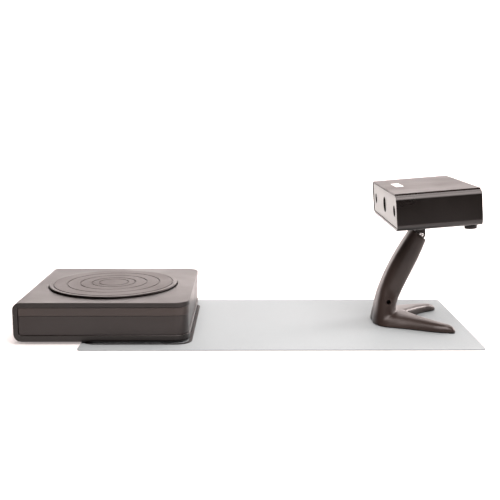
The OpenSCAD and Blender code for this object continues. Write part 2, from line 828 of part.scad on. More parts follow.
module arm_form() {
    loft([for (i = [0 : arm_steps]) arm_ring(i / arm_steps, 0, arm_points)], false);
}

module leg_form(side) {
    loft(concat([for (i = [0 : leg_steps]) leg_ring(i / leg_steps, side, leg_points)],
        [for (f = tip_turns) tip_ring(f, side, leg_points)]), side < 0);
}

// hollow in the arm's top, where the hinge works; it runs on a little past the lips
module arm_mouth() {
    start = 1 - mouth_d / norm(arm_rear[3] - arm_rear[2]) / 3;
    loft([for (i = [0 : mouth_steps])
        arm_ring(start + (mouth_end - start) * i / mouth_steps, mouth_wall, mouth_points)], false);
}

// side view of the spine: a bar up the middle of the arm, ending round the bolt
spine_steps = [0, 0.15, 0.3, 0.45, 0.6, 0.75, 0.88];
spine_points = concat([for (t = spine_steps) arm_middle(t)], [[toe_reach, hinge_h]]);
module spine_outline(g) { strip(spine_points, spine_r + g); }

// screw through both halves and the spine: where it crosses, its seat and its grip past the middle
screw_at = arm_middle(0.3);
screw_seat = 12;
screw_grip = 11;

// plan of the ballast: a bar under each leg's middle line, both from the heel
function leg_middle(t) = (curve(leg_outer, t) + curve(leg_inner, t)) / 2;
ballast_steps = [0.25, 0.45, 0.65, 0.8];
ballast_line = concat([[heel_l * 0.55, 0]], [for (t = ballast_steps) leg_middle(t)]);
ballast_half = 4.5;
heel_eye_r = 5.5;
module ballast_plan(g) {
    translate(ballast_line[0]) circle(heel_eye_r + g);
    for (j = [0, 1]) mirror([0, j]) strip(ballast_line, ballast_half + g);
}

toe_pad_r = 7;
tip_pad_r = 5;
// a length greater than any across the stand
room = 2 * (hinge_h + leg_reach);

// one half of the stand's casting; side is -1 for the near half, 1 for the far half
module stand_half(side) {
    difference() {
        intersection() {
            union() {
                arm_form();
                leg_form(side);
            }
            translate([-room / 2, side > 0 ? 0 : -room, -over]) cube([room, room, room]);
        }
        arm_mouth();
        translate([0, spine_t / 2 + fit, 0]) rotate([90, 0, 0]) linear_extrude(spine_t + 2 * fit)
            spine_outline(fit);
        translate([0, 0, -over]) linear_extrude(over + pad_t + ballast_t + fit) ballast_plan(slip);
        translate([screw_at[0], 0, screw_at[1]]) rotate([90, 0, 0]) {
            translate([0, 0, -screw_grip - slip]) cylinder(r = m3_bore_r, h = room / 4);
            translate([0, 0, screw_seat]) cylinder(r = m3_head_r, h = room / 4);
        }
    }
}

module stand_near_half() { color([0.2, 0.19, 0.18]) in_stand() stand_half(-1); }
module stand_far_half() { color([0.2, 0.19, 0.18]) in_stand() stand_half(1); }

module stand_spine() {
    color([0.45, 0.45, 0.46]) in_stand() difference() {
        intersection() {
            translate([0, spine_t / 2, 0]) rotate([90, 0, 0]) linear_extrude(spine_t) spine_outline(0);
            translate([-room / 2, -room / 2, pad_t + ballast_t]) cube([room, room, room]);
        }
        translate([toe_reach, 0, hinge_h]) rotate([90, 0, 0])
            cylinder(r = bolt_r + fit, h = spine_t + 2 * over, center = true);
        translate([screw_at[0], 0, screw_at[1]]) rotate([90, 0, 0])
            cylinder(r = m3_bore_r, h = spine_t + 2 * over, center = true);
    }
}

module stand_ballast() {
    color([0.4, 0.4, 0.42]) in_stand() translate([0, 0, pad_t]) linear_extrude(ballast_t) ballast_plan(0);
}

module stand_screw() {
    color([0.3, 0.3, 0.3]) in_stand() translate([screw_at[0], -screw_seat, screw_at[1]])
        rotate([90, 0, 0]) screw(m3_r, screw_seat + screw_grip, m3_head_r - fit, m3_head_h);
}

module stand_sole_pads() {
    color([0.06, 0.06, 0.06]) in_stand() linear_extrude(pad_t) {
        translate([heel_l * 0.35, 0]) circle(toe_pad_r);
        for (j = [-1, 1]) translate([leg_reach - tip_across[0] / 2, j * (leg_spread - tip_across[1] / 2)])
            circle(tip_pad_r);
    }
}

// ---------- tilt hinge ----------

ear_in = spine_t / 2 + washer_t + rub;
ear_out = ear_in + ear_t;
bracket_hole_in = 4.5;
bracket_hole_x = bracket_l / 2 - bracket_hole_in;
bracket_hole_y = bracket_w / 2 - bracket_hole_in;
bracket_corner_r = 4;
nut_h = 3;
bolt_past_nut = 1;

module hinge_bracket() {
    color([0.3, 0.3, 0.31]) in_hinge() difference() {
        union() {
            for (j = [-1, 1]) translate([0, j * (ear_in + ear_t / 2), 0]) {
                rotate([90, 0, 0]) cylinder(r = ear_r, h = ear_t, center = true);
                translate([-ear_r, -ear_t / 2, 0]) cube([2 * ear_r, ear_t, hinge_drop - bracket_t / 2]);
            }
            translate([0, 0, hinge_drop - bracket_t]) linear_extrude(bracket_t)
                plate2(bracket_l, bracket_w, bracket_corner_r);
        }
        rotate([90, 0, 0]) cylinder(r = bolt_r + fit, h = 2 * (ear_out + over), center = true);
        translate([0, 0, hinge_drop - bracket_t - over]) at_corners(bracket_hole_x, bracket_hole_y)
            cylinder(r = m3_bore_r, h = bracket_t + 2 * over);
    }
}

module hinge_bolt() {
    bolt_l = 2 * ear_out + nut_h + bolt_past_nut;
    color([0.85, 0.85, 0.86]) in_hinge() translate([0, -ear_out, 0]) rotate([90, 0, 0]) difference() {
        union() {
            translate([0, 0, -bolt_l]) cylinder(r = bolt_r, h = bolt_l);
            cylinder(r = bolt_head_r, h = bolt_head_h * 0.6);
            translate([0, 0, bolt_head_h * 0.6]) cylinder(r = bolt_head_r * 0.8, h = bolt_head_h * 0.4);
        }
        translate([0, 0, bolt_head_h * 0.3]) cylinder(r = bolt_r * 0.6, h = bolt_head_h, $fn = 6);
    }
}

module hinge_nut() {
    color([0.8, 0.8, 0.82]) in_hinge() translate([0, ear_out, 0]) rotate([-90, 0, 0]) difference() {
        cylinder(r = bolt_head_r + slip, h = nut_h, $fn = 6);
        translate([0, 0, -over]) cylinder(r = bolt_r + fit / 2, h = nut_h + 2 * over);
    }
}

module hinge_washers() {
    color([0.75, 0.72, 0.6]) in_hinge() for (j = [-1, 1])
        translate([0, j * (ear_in - washer_t / 2), 0]) rotate([90, 0, 0]) difference() {
            cylinder(r = ear_r - 1, h = washer_t, center = true);
            cylinder(r = bolt_r + fit, h = washer_t + 2 * over, center = true);
        }
}

module bracket_screws() {
    color([0.6, 0.6, 0.6]) in_hinge() translate([0, 0, hinge_drop - bracket_t]) mirror([0, 0, 1])
        at_corners(bracket_hole_x, bracket_hole_y)
            screw(m3_r, bracket_t + shell_wall + bracket_boss_h - slip, m3_head_r, bracket_head_h);
}

// ---------- head shell ----------

// section across the head: round lower and upper long edges, brought in by g
module head_section(g) {
    half = head_w / 2 - g;
    rb = shell_base_r - g;
    rt = shell_top_r - g;
    low = under_z + g;
    high = head_h / 2 - g;
    for (j = [-1, 1]) {
        translate([j * (half - rb), low + rb]) circle(rb);
        translate([j * (half - rt), high - rt]) circle(rt);
    }
    translate([-half + rb, low]) square([2 * (half - rb), high - low - rt]);
    translate([-half + rt, low + rb]) square([2 * (half - rt), high - low - rb]);
    translate([-half, low + rb]) square([2 * half, high - low - rb - rt]);
}

// carries a section drawn as (across, up) along the head, from x = a to x = b
module along_head(a, b) {
    translate([a, 0, 0]) rotate([90, 0, 90]) linear_extrude(b - a) children();
}

rear_screw_y = panel_half - 4;
rear_screw_z = 8;
rear_screw_l = 10;
rear_head_h = 1.4;
rear_boss_r = 5.3;
rear_boss_l = 12;
board_boss_h = 4;
bracket_boss_h = 3;
bracket_head_h = 1.6;
ledge_w = 4;
head_pad_x = 40;
head_pad_y = head_w / 2 - 16;
pad_stem = 1;

// the rear panel's screws: the middle of the shell's rear face, turned to look along the head
module at_rear_screws(x) {
    for (j = [-1, 1], z = [-rear_screw_z, rear_screw_z])
        translate([x, j * rear_screw_y, z]) rotate([0, 90, 0]) children();
}

module head_shell() {
    boss_x = rear_x - rear_t - rear_boss_l;
    color([0.14, 0.13, 0.12]) in_head() difference() {
        union() {
            along_head(-head_l / 2, head_l / 2) difference() {
                head_section(0);
                intersection() {
                    head_section(shell_wall);
                    translate([-head_w, -head_h]) square([2 * head_w, head_h + ledge_z]);
                }
                translate([-cover_half + ledge_w, 0]) square([2 * (cover_half - ledge_w), head_h]);
                translate([-cover_half - cover_gap, head_h / 2 - cover_t])
                    square([2 * (cover_half + cover_gap), head_h]);
            }
            at_rear_screws(boss_x) cylinder(r = rear_boss_r, h = rear_boss_l);
            translate([0, 0, floor_z - over]) {
                at_main_holes() cylinder(r = small_boss_r, h = board_boss_h + over);
                at_bracket_holes() cylinder(r = boss_r, h = bracket_boss_h + over);
            }
        }
        at_rear_screws(boss_x - over) cylinder(r = m3_bore_r, h = rear_boss_l + 2 * over);
        at_main_holes() translate([0, 0, main_z - board_screw_grip + over])
            cylinder(r = m2_r + fit, h = board_screw_grip);
        at_bracket_holes() translate([0, 0, under_z - over])
            cylinder(r = m3_bore_r, h = shell_wall + bracket_boss_h + 2 * over);
        // the ledges under the top cover stop short of the front plate and the rear panel
        for (x = [-head_l / 2 - over, rear_x - rear_t - slip])
            translate([x, -panel_half - slip, ledge_z - over])
                cube([face_inset + face_t + slip + over, 2 * (panel_half + slip), ledge_t + over + eps]);
        for (j = [-1, 1]) translate([head_pad_x, j * head_pad_y, under_z - over])
            cylinder(r = m3_bore_r, h = shell_wall + 2 * over);
    }
}

// the bracket's screw holes, seen from the head's middle
module at_bracket_holes() {
    translate([hinge_back - head_l / 2, 0, 0]) at_corners(bracket_hole_x, bracket_hole_y) children();
}

module head_top_cover() {
    color([0.5, 0.47, 0.46]) in_head() translate([-head_l / 2, -cover_half, head_h / 2 - cover_t])
        cube([head_l, 2 * cover_half, cover_t]);
}

// flat plate that closes one end of the head
module end_plate(x, t) {
    along_head(x, x + t) intersection() {
        head_section(shell_wall + slip);
        translate([-head_w, -head_h]) square([2 * head_w, head_h + panel_high]);
    }
}

module front_plate() {
    color([0.82, 0.82, 0.81]) in_head() difference() {
        end_plate(face_x, face_t);
        at_windows(face_x - over) cylinder(r = camera_r, h = face_t + 2 * over);
        translate([face_x - over, 0, 0]) rotate([0, 90, 0])
            cylinder(r = projector_r, h = face_t + 2 * over);
    }
}

// the two cameras' axes, looking back from x along the head
module at_windows(x) {
    for (j = [-1, 1]) translate([x, j * camera_pitch, 0]) rotate([0, 90, 0]) children();
}

badge_l = 10;
badge_w = 40;
badge_t = 0.2;
badge_r = 1;
badge_x = -head_l / 2 + 20;
badge_y = 10;

module blank_badge() {
    color([0.92, 0.92, 0.92]) in_head() translate([badge_x, badge_y, head_h / 2])
        linear_extrude(badge_t) plate2(badge_l, badge_w, badge_r);
}

module head_pads() {
    color([0.05, 0.05, 0.05]) in_head() for (j = [-1, 1])
        translate([head_pad_x, j * head_pad_y, under_z]) {
            mirror([0, 0, 1]) cylinder(r = head_pad_r, h = head_pad_h);
            cylinder(r = m3_r, h = shell_wall + pad_stem);
        }
}

// ---------- optics ----------

bench_x = face_x + face_t;
bench_t = 6;
bench_h = 26;
bench_foot_h = 8;
bench_half = head_w / 2 - shell_base_r;
window_t = 1.5;
camera_lap = 1.5;
projector_lap = 2;
lens_gap = 0.5;
lens_x = bench_x + window_t + lens_gap;
barrel_wall = 2;
barrel_step = 3;
barrel_l = 18;
sensor_w = 12;
sensor_t = 2.5;
sensor_board_w = 30;
sensor_board_h = 28;

// plate across the head that holds both cameras and the projector's lens
module optical_bench() {
    back_x = bench_x + window_t;
    color([0.72, 0.73, 0.74]) in_head() difference() {
        union() {
            translate([back_x, -bench_half, -bench_h / 2]) cube([bench_t, 2 * bench_half, bench_h]);
            translate([back_x, -bench_half, floor_z]) cube([bench_t, 2 * bench_half, bench_foot_h]);
        }
        at_windows(bench_x) cylinder(r = camera_r + fit, h = bench_t + window_t + over);
        translate([bench_x, 0, 0]) rotate([0, 90, 0])
            cylinder(r = projector_r + fit, h = bench_t + window_t + over);
    }
}

module camera_windows() {
    color([0.05, 0.05, 0.07]) in_head() at_windows(bench_x)
        cylinder(r = camera_r + camera_lap, h = window_t);
}

module projector_window() {
    color([0.05, 0.05, 0.07]) in_head() translate([bench_x, 0, 0]) rotate([0, 90, 0])
        cylinder(r = projector_r + projector_lap, h = window_t);
}

// lens barrel standing on z = 0, with a stepped mouth there
module barrel(r, l) {
    difference() {
        cylinder(r = r, h = l);
        translate([0, 0, -over]) cylinder(r = r - barrel_wall, h = barrel_step + over);
        translate([0, 0, -over]) cylinder(r = r - 2 * barrel_wall, h = 2 * barrel_step + over);
    }
}

// lens barrel on a square sensor board
module camera(side) {
    in_head() translate([lens_x, side * camera_pitch, 0]) {
        rotate([0, 90, 0]) barrel(camera_r, barrel_l);
        translate([barrel_l, -sensor_board_w / 2, -sensor_board_h / 2])
            cube([board_t, sensor_board_w, sensor_board_h]);
        translate([barrel_l + board_t, -sensor_w / 2, -sensor_w / 2])
            cube([sensor_t, sensor_w, sensor_w]);
    }
}
module near_camera() { color([0.12, 0.12, 0.13]) camera(-1); }
module far_camera() { color([0.12, 0.12, 0.13]) camera(1); }

lens_l = 22;
engine_x = lens_x + lens_l;
engine_l = 34;
engine_w = 52;
engine_h = 28;
engine_z = floor_z + bracket_boss_h;

module projector_lens() {
    color([0.1, 0.1, 0.11]) in_head() translate([lens_x, 0, 0]) rotate([0, 90, 0])
        barrel(projector_r, lens_l);
}

module projector_body() {
    color([0.2, 0.2, 0.21]) in_head() translate([engine_x, -engine_w / 2, engine_z])
        cube([engine_l, engine_w, engine_h]);
}

fin_count = 9;
fin_t = 1.5;
sink_base_t = 2;
module heat_sink() {
    sink_x = engine_x + engine_l;
    sink_l = fan_x - sink_x;
    color([0.6, 0.61, 0.62]) in_head() translate([sink_x, -engine_w / 2, engine_z]) {
        cube([sink_base_t, engine_w, engine_h]);
        for (i = [0 : fin_count - 1]) translate([0, i * (engine_w - fin_t) / (fin_count - 1), 0])
            cube([sink_l, fin_t, engine_h]);
    }
}

// ---------- cooling fan ----------

fan_x = rear_x - rear_t - fan_t;
fan_z = floor_z + fan_w / 2;
fan_rim = 2;
fan_corner_r = 3;
rotor_r = fan_w / 2 - fan_rim;
rotor_gap = 0.8;
rotor_hub_r = 7;
rotor_z = 1.8;
rotor_h = fan_t - rotor_z - rotor_gap;
blade_t = 1.2;
blade_w = 8;
blade_turn = 35;
strut_w = 2.4;
strut_t = 1.5;
pin_r = 1.5;
pin_h = 6;

module fan_frame() {
    color([0.1, 0.1, 0.1]) in_head() translate([fan_x, 0, fan_z]) rotate([0, 90, 0]) {
        difference() {
            linear_extrude(fan_t) plate2(fan_w, fan_w, fan_corner_r);
            translate([0, 0, -over]) cylinder(r = rotor_r + rotor_gap, h = fan_t + 2 * over);
        }
        cylinder(r = rotor_hub_r, h = strut_t);
        for (a = [45 : 90 : 315]) rotate(a) translate([rotor_hub_r - over, -strut_w / 2, 0])
            cube([rotor_r + rotor_gap - rotor_hub_r + 2 * over, strut_w, strut_t]);
        cylinder(r = pin_r, h = pin_h);
    }
}

module fan_rotor() {
    color([0.16, 0.16, 0.17]) in_head() translate([fan_x, 0, fan_z]) rotate([0, 90, 0]) difference() {
        union() {
            translate([0, 0, rotor_z]) cylinder(r = rotor_hub_r, h = rotor_h);
            for (i = [0 : fan_blades - 1]) rotate(360 * i / fan_blades)
                translate([rotor_hub_r - over, 0, rotor_z + rotor_h / 2]) rotate([blade_turn, 0, 0])
                    translate([0, -blade_t / 2, -blade_w / 2])
                        cube([rotor_r - rotor_hub_r, blade_t, blade_w]);
        }
        translate([0, 0, rotor_z - over]) cylinder(r = pin_r + fit, h = pin_h - rotor_z + slip + over);
    }
}

// ---------- main board and rear panel ----------

main_gap = 1;
main_side_gap = 3.9;
main_l = 58;
main_w = panel_half - main_side_gap - engine_w / 2 - main_gap;
main_hole_in = [4, 3];
main_x = rear_x - rear_t - main_gap - main_l / 2;
main_y = panel_half - main_side_gap - main_w / 2;
main_z = floor_z + board_boss_h;
main_top = main_z + board_t;
main_chip_w = 16;
main_chip_h = 2;
// the data socket, the power inlet and the turntable's port, across the board
port_y = [main_y - main_w / 2 + 7, main_y - 4, main_y + main_w / 2 - 17];
port_h = 12;
port_w = 11;
port_l = 14;
port_r = 5;
port_mouth_r = 3.5;
jack_z = main_top + port_h / 2;
usb_l = 16;
usb_w = 12;
usb_h = 11;
usb_back = 4;
usb_mouth_w = 9;
usb_mouth_h = 8.4;
slot_count = 7;
slot_pitch = 4.4;
slot_w = 2.4;
slot_h = 28;
button_in = 28.9;
button_y = -panel_half + button_in;
button_rim = 1.5;
button_rim_t = 1.6;
button_play = 0.2;
button_out = 1.4;
button_x = rear_x - rear_t - button_rim_t - button_play;
button_l = rear_x + button_out - button_x;
switch_l = 6;
switch_w = 12;
switch_board_out = 4;

module at_main_holes() {
    translate([main_x, main_y, 0])
        at_corners(main_l / 2 - main_hole_in[0], main_w / 2 - main_hole_in[1]) children();
}

module main_board() {
    color([0.1, 0.33, 0.2]) in_head() difference() {
        translate([main_x, main_y, main_z]) {
            block(main_l, main_w, board_t);
            translate([-main_l / 5, -main_w / 7, board_t])
                block(main_chip_w, main_chip_w, main_chip_h);
            translate([-main_l / 4, main_w / 4, board_t]) block(chip_w, chip_w, chip_h);
        }
        translate([0, 0, main_z - over]) at_main_holes()
            cylinder(r = m2_r + fit, h = board_t + 2 * over);
    }
}

module usb_socket() {
    color([0.75, 0.75, 0.76]) in_head() translate([rear_x - usb_l, port_y[0] - usb_w / 2, main_top])
        difference() {
            cube([usb_l, usb_w, usb_h]);
            translate([usb_back, (usb_w - usb_mouth_w) / 2, (usb_h - usb_mouth_h) / 2])
                cube([usb_l, usb_mouth_w, usb_mouth_h]);
        }
}

// round socket at y on the main board, its mouth through the rear panel
module round_socket(y, mouth_r) {
    in_head() difference() {
        union() {
            translate([rear_x - port_l, y - port_w / 2, main_top])
                cube([port_l - rear_t, port_w, port_h]);
            translate([rear_x - rear_t - over, y, jack_z]) rotate([0, 90, 0])
                cylinder(r = port_r, h = rear_t + over);
        }
        translate([rear_x - jack_d, y, jack_z]) rotate([0, 90, 0])
            cylinder(r = mouth_r, h = jack_d + over);
    }
}

module power_jack() { color([0.08, 0.08, 0.08]) round_socket(port_y[1], jack_r); }

module turntable_port() { color([0.09, 0.09, 0.09]) round_socket(port_y[2], port_mouth_r); }

module rear_panel() {
    cut_x = rear_x - rear_t - over;
    cut_l = rear_t + 2 * over;
    color([0.13, 0.12, 0.12]) in_head() difference() {
        end_plate(rear_x - rear_t, rear_t);
        // slots in front of the fan
        for (i = [-slot_count / 2 + 0.5 : slot_count / 2])
            translate([cut_x, i * slot_pitch - slot_w / 2, fan_z - slot_h / 2])
                cube([cut_l, slot_w, slot_h]);
        translate([cut_x, port_y[0] - usb_w / 2 - rub, main_top - rub])
            cube([cut_l, usb_w + 2 * rub, usb_h + 2 * rub]);
        for (y = [port_y[1], port_y[2]]) translate([cut_x, y, jack_z]) rotate([0, 90, 0])
            cylinder(r = port_r + fit, h = cut_l);
        translate([cut_x, button_y, 0]) rotate([0, 90, 0]) cylinder(r = button_r + rub, h = cut_l);
        at_rear_screws(cut_x) cylinder(r = m3_bore_r, h = cut_l);
    }
}

module rear_panel_screws() {
    color([0.35, 0.35, 0.35]) in_head() at_rear_screws(rear_x)
        screw(m3_r, rear_screw_l, m3_head_r, rear_head_h);
}

module power_button() {
    color([0.6, 0.6, 0.6]) in_head() translate([button_x, button_y, 0]) rotate([0, 90, 0]) {
        cylinder(r = button_r, h = button_l);
        cylinder(r = button_r + button_rim, h = button_rim_t);
    }
}

module button_switch() {
    stem_x = button_x - button_travel - slip;
    color([0.1, 0.1, 0.1]) in_head() translate([stem_x - switch_l, button_y - switch_w / 2, floor_z]) {
        cube([switch_l, switch_w, switch_w / 2 - floor_z]);
        translate([-board_t, -switch_board_out, 0])
            cube([board_t, switch_w + 2 * switch_board_out, switch_w / 2 - floor_z + switch_board_out]);
    }
}

locating_plate();
locating_strip();
turntable_wrap();
turntable_lower_frame();
turntable_upper_frame();
turntable_feet();
turntable_base_screws();
platter();
platter_mat();
platter_shaft();
shaft_bushes();
bearing_housing();
thrust_washer();
drive_pulley();
drive_belt();
motor_pulley();
motor_shaft();
turntable_motor();
mechanism_deck();
motor_screws();
deck_screws();
driver_board();
driver_board_screws();
turntable_socket();
stand_near_half();
stand_far_half();
stand_spine();
stand_ballast();
stand_screw();
stand_sole_pads();
hinge_bracket();
hinge_bolt();
hinge_nut();
hinge_washers();
bracket_screws();
head_shell();
head_top_cover();
front_plate();
blank_badge();
rear_panel();
rear_panel_screws();
optical_bench();
camera_windows();
projector_window();
near_camera();
far_camera();
projector_lens();
projector_body();
heat_sink();
fan_frame();
fan_rotor();
main_board();
usb_socket();
power_jack();
turntable_port();
power_button();
button_switch();
head_pads();
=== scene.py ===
# Desktop 3d scanner: turntable, scanning head on a forked stand, and the plate that sets them out.
import bpy
import bmesh
import json
import math
from mathutils import Matrix, Vector
from mathutils.kdtree import KDTree


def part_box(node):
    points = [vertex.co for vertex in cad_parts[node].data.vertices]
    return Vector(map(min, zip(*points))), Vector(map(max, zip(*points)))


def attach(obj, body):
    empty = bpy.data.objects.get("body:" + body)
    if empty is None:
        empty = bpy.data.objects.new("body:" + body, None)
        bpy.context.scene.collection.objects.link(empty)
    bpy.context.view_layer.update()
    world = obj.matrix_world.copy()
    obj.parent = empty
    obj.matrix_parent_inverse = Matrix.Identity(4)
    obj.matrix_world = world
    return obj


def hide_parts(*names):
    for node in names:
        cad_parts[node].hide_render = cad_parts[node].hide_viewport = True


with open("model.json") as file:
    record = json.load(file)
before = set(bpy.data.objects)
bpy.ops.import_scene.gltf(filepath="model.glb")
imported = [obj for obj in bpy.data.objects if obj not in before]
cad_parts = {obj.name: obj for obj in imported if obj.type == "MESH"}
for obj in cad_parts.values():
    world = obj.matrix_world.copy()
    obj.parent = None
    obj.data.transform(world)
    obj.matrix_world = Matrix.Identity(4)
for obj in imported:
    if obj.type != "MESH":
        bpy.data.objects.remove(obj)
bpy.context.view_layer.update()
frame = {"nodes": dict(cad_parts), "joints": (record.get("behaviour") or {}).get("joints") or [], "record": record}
mm = 0.001
nodes = frame["nodes"]


# materials: every finish is made of nodes that read Object coordinates

def newMaterial(name, metallic=0.0, roughness=0.5, ior=1.5):
    mat = bpy.data.materials.new(name)
    mat.use_nodes = True
    tree = mat.node_tree
    shader = tree.nodes["Principled BSDF"]
    shader.inputs["Metallic"].default_value = metallic
    shader.inputs["Roughness"].default_value = roughness
    shader.inputs["IOR"].default_value = ior
    return mat, tree, shader


def objectPoint(tree, stretch=(1, 1, 1)):
    # object coordinates, stretched for a pattern that runs one way
    coord = tree.nodes.new("ShaderNodeTexCoord")
    place = tree.nodes.new("ShaderNodeMapping")
    place.inputs["Scale"].default_value = stretch
    tree.links.new(coord.outputs["Object"], place.inputs["Vector"])
    return place.outputs["Vector"]


def noise(tree, point, scale, detail=2.0):
    tex = tree.nodes.new("ShaderNodeTexNoise")
    tex.inputs["Scale"].default_value = scale
    tex.inputs["Detail"].default_value = detail
    tree.links.new(point, tex.inputs["Vector"])
    return tex.outputs["Fac"]


def ramp(tree, value, low, high, lowAt=0.35, highAt=0.65):
    # low and high are colours, or plain numbers for a grey
    blend = tree.nodes.new("ShaderNodeValToRGB")
    for stop, colour, at in zip(blend.color_ramp.elements, (low, high), (lowAt, highAt)):
        colour = colour if isinstance(colour, tuple) else (colour, colour, colour)
        stop.color = (*colour, 1)
        stop.position = at
    tree.links.new(value, blend.inputs["Fac"])
    return blend.outputs["Color"]


def bump(tree, shader, height, depth):
    node = tree.nodes.new("ShaderNodeBump")
    node.inputs["Distance"].default_value = depth
    tree.links.new(height, node.inputs["Height"])
    tree.links.new(node.outputs["Normal"], shader.inputs["Normal"])


def tinted(tone, share):
    return tuple(min(1.0, c * share) for c in tone)


def moulded(name, tone, roughness=0.45, spread=0.08, grain=2600, depth=0.000008, clouds=14, shift=0.12,
            ior=1.5):
    # moulded plastic or rubber: spark grain in the bump, faint clouds in colour and gloss
    mat, tree, shader = newMaterial(name, roughness=roughness, ior=ior)
    point = objectPoint(tree)
    cloud = noise(tree, point, clouds, 4.0)
    speck = noise(tree, point, grain, 2.0)
    mix = tree.nodes.new("ShaderNodeMix")
    mix.data_type = "RGBA"
    mix.blend_type = "MULTIPLY"
    mix.inputs["Factor"].default_value = 1.0
    tree.links.new(ramp(tree, cloud, tinted(tone, 1 - shift), tinted(tone, 1 + shift)), mix.inputs["A"])
    tree.links.new(ramp(tree, speck, 0.86, 1.0), mix.inputs["B"])
    tree.links.new(mix.outputs["Result"], shader.inputs["Base Color"])
    tree.links.new(ramp(tree, cloud, roughness - spread, roughness + spread), shader.inputs["Roughness"])
    bump(tree, shader, speck, depth)
    return mat


def brushed(name, tone, roughness, grain=60, depth=0.00001):
    # turned or brushed metal: fine lines one way, and a faint mottle
    mat, tree, shader = newMaterial(name, metallic=1.0, roughness=roughness)
    lines = noise(tree, objectPoint(tree, (1, 40, 40)), grain, 3.0)
    mottle = noise(tree, objectPoint(tree), 40, 3.0)
    tree.links.new(ramp(tree, mottle, tinted(tone, 0.9), tinted(tone, 1.08)), shader.inputs["Base Color"])
    tree.links.new(ramp(tree, lines, roughness * 0.75, roughness * 1.35), shader.inputs["Roughness"])
    bump(tree, shader, lines, depth)
    return mat


def boardFinish(name, tone):
    # circuit board: solder mask over copper tracks, with tinned pads
    mat, tree, shader = newMaterial(name, roughness=0.35)
    point = objectPoint(tree)
    tracks = tree.nodes.new("ShaderNodeTexVoronoi")
    tracks.feature = "DISTANCE_TO_EDGE"
    tracks.distance = "MANHATTAN"
    tracks.inputs["Scale"].default_value = 220
    tree.links.new(point, tracks.inputs["Vector"])
    tree.links.new(ramp(tree, tracks.outputs["Distance"], tinted(tone, 1.5), tone, 0.05, 0.09),
                   shader.inputs["Base Color"])
    bump(tree, shader, noise(tree, point, 900), 0.00002)
    return mat


def glassFinish(name, tone):
    # lens glass over a dark barrel, with a painted sheen: its colour grows up to five times lighter where the
    # surface turns away from the view
    mat, tree, shader = newMaterial(name, roughness=0.04, ior=1.35)
    sheenFacing = tree.nodes.new("ShaderNodeLayerWeight")
    sheenFacing.inputs["Blend"].default_value = 0.35
    # painted sheen: the base colour lightens toward grazing angles in place of a reflection
    tree.links.new(ramp(tree, sheenFacing.outputs["Facing"], tone, tinted(tone, 5), 0.0, 1.0),
                   shader.inputs["Base Color"])
    tree.links.new(ramp(tree, noise(tree, objectPoint(tree), 300), 0.03, 0.07), shader.inputs["Roughness"])
    return mat


finishes = {
    "plate_sheet": moulded("powderCoatedPlate", (0.29, 0.328, 0.339), 0.6, 0.05, 1800, 0.000008, 6, 0.03,
                           1.2),
    "strip_dark": moulded("stripVinyl", (0.006, 0.005, 0.005), 0.55, 0.05, 2200, 0.000008),
    "casing_dark": moulded("wrapCasing", (0.007, 0.005, 0.004), 0.33, 0.04, ior=1.45),
    "panel_dark": moulded("panelPlastic", (0.010, 0.006, 0.005), 0.38, 0.05),
    "band_dark": moulded("bandPlastic", (0.024, 0.016, 0.013), 0.36, 0.05),
    "rubber_black": moulded("rubberFoot", (0.010, 0.009, 0.009), 0.8, 0.08, 1500, 0.000006),
    "screw_steel": brushed("plainScrew", (0.55, 0.54, 0.52), 0.35),
    "screw_dark": brushed("blackenedScrew", (0.02, 0.019, 0.018), 0.45),
    "platter_grey": moulded("platterPlastic", (0.010, 0.007, 0.006), 0.36, 0.04),
    "mat_rubber": moulded("matRubber", (0.020, 0.014, 0.012), 0.42, 0.05, 2000, 0.00001, ior=1.45),
    "bright_steel": brushed("groundShaft", (0.65, 0.65, 0.66), 0.22),
    "bush_bronze": brushed("sinteredBush", (0.5, 0.3, 0.13), 0.45),
    "cast_alloy": moulded("castAlloy", (0.38, 0.39, 0.4), 0.5, 0.1, 900, 0.00003),
    "white_plastic": moulded("whiteNylon", (0.7, 0.69, 0.64), 0.5),
    "gear_plastic": moulded("pulleyNylon", (0.03, 0.03, 0.035), 0.5),
    "motor_steel": brushed("motorCan", (0.3, 0.3, 0.31), 0.4),
    "zinc_sheet": brushed("zincSheet", (0.55, 0.56, 0.58), 0.4),
    "board_green": boardFinish("solderMask", (0.01, 0.09, 0.035)),
    "socket_black": moulded("socketPlastic", (0.012, 0.011, 0.011), 0.45, ior=1.4),
    "stand_dark": moulded("standLacquer", (0.030, 0.021, 0.018), 0.32, 0.04, 3000, 0.000006, ior=1.42),
    "bracket_dark": moulded("bracketPaint", (0.016, 0.012, 0.010), 0.32, 0.05, 1600, 0.000008, ior=1.4),
    "bolt_chrome": brushed("chromedBolt", (0.8, 0.8, 0.8), 0.12, grain=30),
    "head_dark": moulded("headCasing", (0.003, 0.0015, 0.001), 0.3, 0.04),
    "cover_dark": moulded("coverPlastic", (0.012, 0.008, 0.007), 0.36, 0.04, ior=1.22),
    "face_silver": moulded("facePaint", (0.56, 0.575, 0.565), 0.45, 0.05, 2400, 0.000008, 10, 0.04, 1.2),
    "badge_white": moulded("badgeFoil", (0.85, 0.85, 0.84), 0.3, 0.04, 1200, 0.00001, 20, 0.03),
    "lens_glass": glassFinish("lensGlass", (0.006, 0.006, 0.01)),
    "barrel_black": moulded("barrelAnodised", (0.004, 0.004, 0.004), 0.5, ior=1.2),
    "engine_black": moulded("engineHousing", (0.03, 0.03, 0.032), 0.5),
    "button_grey": moulded("buttonCap", (0.3, 0.3, 0.3), 0.4),
}
slotOf = {part["node"]: part["material_slot"] for part in frame["record"]["subparts"]}
for nodeName, slotName in slotOf.items():
    mesh = nodes[nodeName].data
    mesh.materials.clear()
    mesh.materials.append(finishes[slotName])
print("materials on", len(slotOf), "nodes")


# shared steps for pieces

bodyOf = {n: body for body, members in frame["record"]["behaviour"]["bodies"].items() for n in members}
jointAt = {j["name"]: Vector(j["pos_m"]) for j in frame["joints"] if "pos_m" in j}


